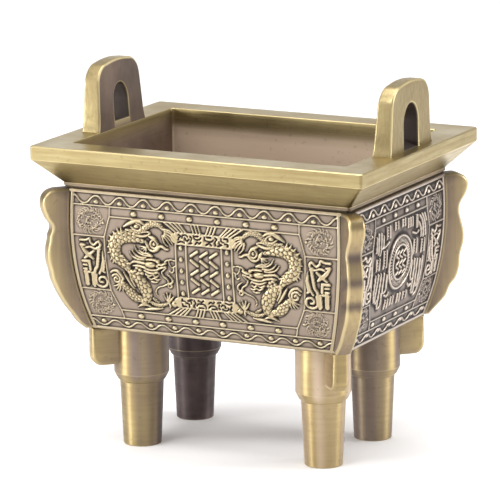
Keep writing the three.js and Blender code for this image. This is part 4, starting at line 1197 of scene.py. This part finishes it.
def short_wall():
    """End wall: a medallion in a field of bars and pipes."""
    wall = Wall(False)
    frame_lines(wall)
    wave(wall, 93.0, 1.35, True, 8, 9.45, 92.3)
    wave(wall, 47.5, 1.05, False, 7, 9.45, 47.95)
    for upper, lower in ((-15.0, -16.4), (-5.2, -6.8), (4.5, 2.8), (14.0, 12.4)):
        wall.dome(upper, 89.1, 0.95, 0.8, 1.3, 0.7)
        wall.dome(lower, 51.5, 0.95, 0.8, 1.3, 0.7)
    side_columns(wall)
    a0, z0 = -0.3, 71.2
    for radius, width, height, gold in ((9.5, 0.9, 0.7, 0.5), (8.6, 0.35, 0.4, 0.3), (6.3, 0.85, 0.7, 0.5)):
        wall.ring(a0, z0, radius, width, height, gold)
    for t in np.linspace(0, 2 * math.pi, 44, endpoint=False):
        points = [(a0 + r * math.cos(t), z0 + r * math.sin(t)) for r in (7.1, 8.2)]
        wall.stroke(points, 0.5, 0.5, "round", 0.3)
    stroke_rows(wall, z0, 8.4, 9.4, 5, 3, 0.75)
    for left, right, high, low in (
        (-12.7, -9.4, 86.2, 81.4), (-5.6, -2.8, 86.6, 83.4), (0.4, 3.3, 86.6, 83.4), (5.3, 9.6, 86.0, 82.2),
        (12.2, 13.7, 86.0, 81.0), (-15.2, -12.0, 78.0, 71.2), (10.4, 13.5, 77.4, 71.6),
        (17.0, 20.2, 76.2, 71.0), (-21.0, -18.0, 76.0, 71.4), (-10.0, -7.0, 59.2, 55.4),
        (0.6, 3.4, 59.4, 55.6), (5.5, 8.8, 59.2, 56.0), (-5.2, -2.6, 59.4, 56.0),
    ):
        barred(wall, left, right, high, low)
    # Upright pipes, some of which turn at the foot
    for points in (
        [(-20.6, 83.6), (-21.2, 78.4)], [(-19.2, 84.8), (-19.6, 77.6)],
        [(-17.2, 84.6), (-17.4, 79.6), (-18.2, 77.0)], [(-15.2, 83.4), (-15.6, 79.4)],
        [(15.4, 85.2), (17.6, 82.6), (18.4, 77.0)], [(17.4, 85.4), (19.4, 82.2), (20.4, 77.2)],
        [(14.8, 82.8), (16.2, 80.4), (16.4, 77.4)], [(19.6, 85.2), (21.0, 82.4)],
        [(-13.6, 69.6), (-13.8, 63.4), (-12.3, 62.2), (-10.9, 63.6), (-11.0, 68.4)],
        [(-16.2, 69.8), (-16.6, 59.0), (-15.2, 57.2), (-13.9, 58.8), (-14.2, 62.4)],
        [(-18.4, 70.0), (-19.4, 61.6), (-18.2, 59.6), (-17.4, 60.4)],
        [(-20.8, 70.0), (-21.0, 64.0), (-20.0, 60.4)],
        [(10.2, 69.6), (10.0, 64.2), (11.2, 62.4), (12.4, 63.6), (12.4, 69.8)],
        [(12.6, 62.6), (12.6, 58.2), (13.6, 57.0), (14.6, 58.2), (14.6, 69.4)],
        [(15.4, 60.4), (16.2, 59.0), (17.0, 60.4), (17.2, 68.8)],
        [(19.2, 69.4), (19.0, 64.0), (17.4, 57.6), (15.4, 55.8)],
        [(-11.4, 61.2), (-9.4, 60.4), (-8.2, 61.6)], [(8.6, 61.4), (9.6, 60.2), (11.2, 60.8)],
        [(-10.6, 80.4), (-13.4, 79.4), (-16.4, 79.0)], [(9.6, 80.0), (12.6, 79.2), (14.4, 79.8)],
    ):
        wall.stroke(points, 0.75, 0.65, gold=0.45)
    return wall


# Assembly

vessel = [make_shell()]
for side in (-1, 1):
    vessel.append(make_ear(side))
for name in CORNERS:
    vessel.append(make_flange(name))
long = long_wall()
short = short_wall()
for quarter, (name, wall) in enumerate((("front", long), ("right", short), ("back", long), ("left", short))):
    vessel.append(wall.object("relief_" + name, quarter, long_brass if wall is long else short_brass))
for piece in vessel:
    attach(piece, "root")
    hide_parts("vessel")
for name in CORNERS:
    leg = make_leg(name)
    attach(leg, "root")
    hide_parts("leg_" + name)


# Floor, light and camera

def make_floor():
    """Plain pale floor."""
    g = Graph("floor_paper")
    g.shader.inputs["Metallic"].default_value = 0.0
    g.shader.inputs["Roughness"].default_value = 0.9
    shade = g.noise(4, detail=1)
    g.link(g.mix(shade, (250, 250, 250), (247, 247, 247)), g.shader.inputs["Base Color"])
    g.shader.inputs["Emission Color"].default_value = (1, 1, 1, 1)
    g.shader.inputs["Emission Strength"].default_value = 0.08
    size = 3000
    points = [(x * size, y * size, 0) for x, y in ((-1, -1), (1, -1), (1, 1), (-1, 1))]
    floor = new_mesh("floor", points, [(0, 1, 2, 3)], g.material)


def area_light(name, place, size, power):
    """Soft light at a place in metres, turned to the middle of the ding."""
    data = bpy.data.lights.new(name, "AREA")
    data.shape = "RECTANGLE"
    data.size, data.size_y = size
    data.energy = power
    light = bpy.data.objects.new(name, data)
    light.location = place
    light.rotation_euler = (Vector((0, 0, 0.07)) - Vector(place)).to_track_quat("-Z", "Y").to_euler()
    bpy.context.collection.objects.link(light)


make_floor()
area_light("key", (-0.85, -0.75, 0.22), (0.35, 0.35), 6)
area_light("front", (-0.25, -0.9, 0.95), (0.5, 0.5), 5.5)
area_light("top", (0.0, 0.0, 1.1), (1.0, 1.0), 14)
area_light("side", (0.95, 0.45, 0.4), (0.4, 0.4), 5)
area_light("back", (-0.7, 1.4, 0.5), (1.6, 0.7), 2.5)

world = bpy.data.worlds.new("studio")
world.use_nodes = True
world.node_tree.nodes["Background"].inputs["Color"].default_value = (1.0, 0.97, 0.98, 1)
world.node_tree.nodes["Background"].inputs["Strength"].default_value = 0.42
bpy.context.scene.world = world
bpy.context.scene.view_settings.view_transform = "Standard"


def make_camera():
    """Camera as fitted to the photo: its angles, the point it looks at, its distance and its lens."""
    azimuth, elevation, roll = (math.radians(v) for v in (26.584, 12.173, -0.462))
    level = math.cos(elevation)
    back = Vector((math.sin(azimuth) * level, -math.cos(azimuth) * level, math.sin(elevation)))
    eye = Vector((-2.633, 0, 70.088)) + back * 1491.583
    right = (-back).cross(Vector((0, 0, 1))).normalized()
    up = right.cross(-back)
    c, s = math.cos(roll), math.sin(roll)
    right, up = c * right + s * up, -s * right + c * up
    data = bpy.data.cameras.new("camera")
    focal_pixels, picture = 4145.634, 500
    data.sensor_width = 36
    data.lens = focal_pixels * data.sensor_width / picture
    data.clip_start, data.clip_end = 0.05, 20
    camera = bpy.data.objects.new("camera", data)
    turn = Matrix((right, up, back)).transposed().to_4x4()
    camera.matrix_world = Matrix.Translation(eye * MM) @ turn
    bpy.context.collection.objects.link(camera)
    bpy.context.scene.camera = camera


make_camera()
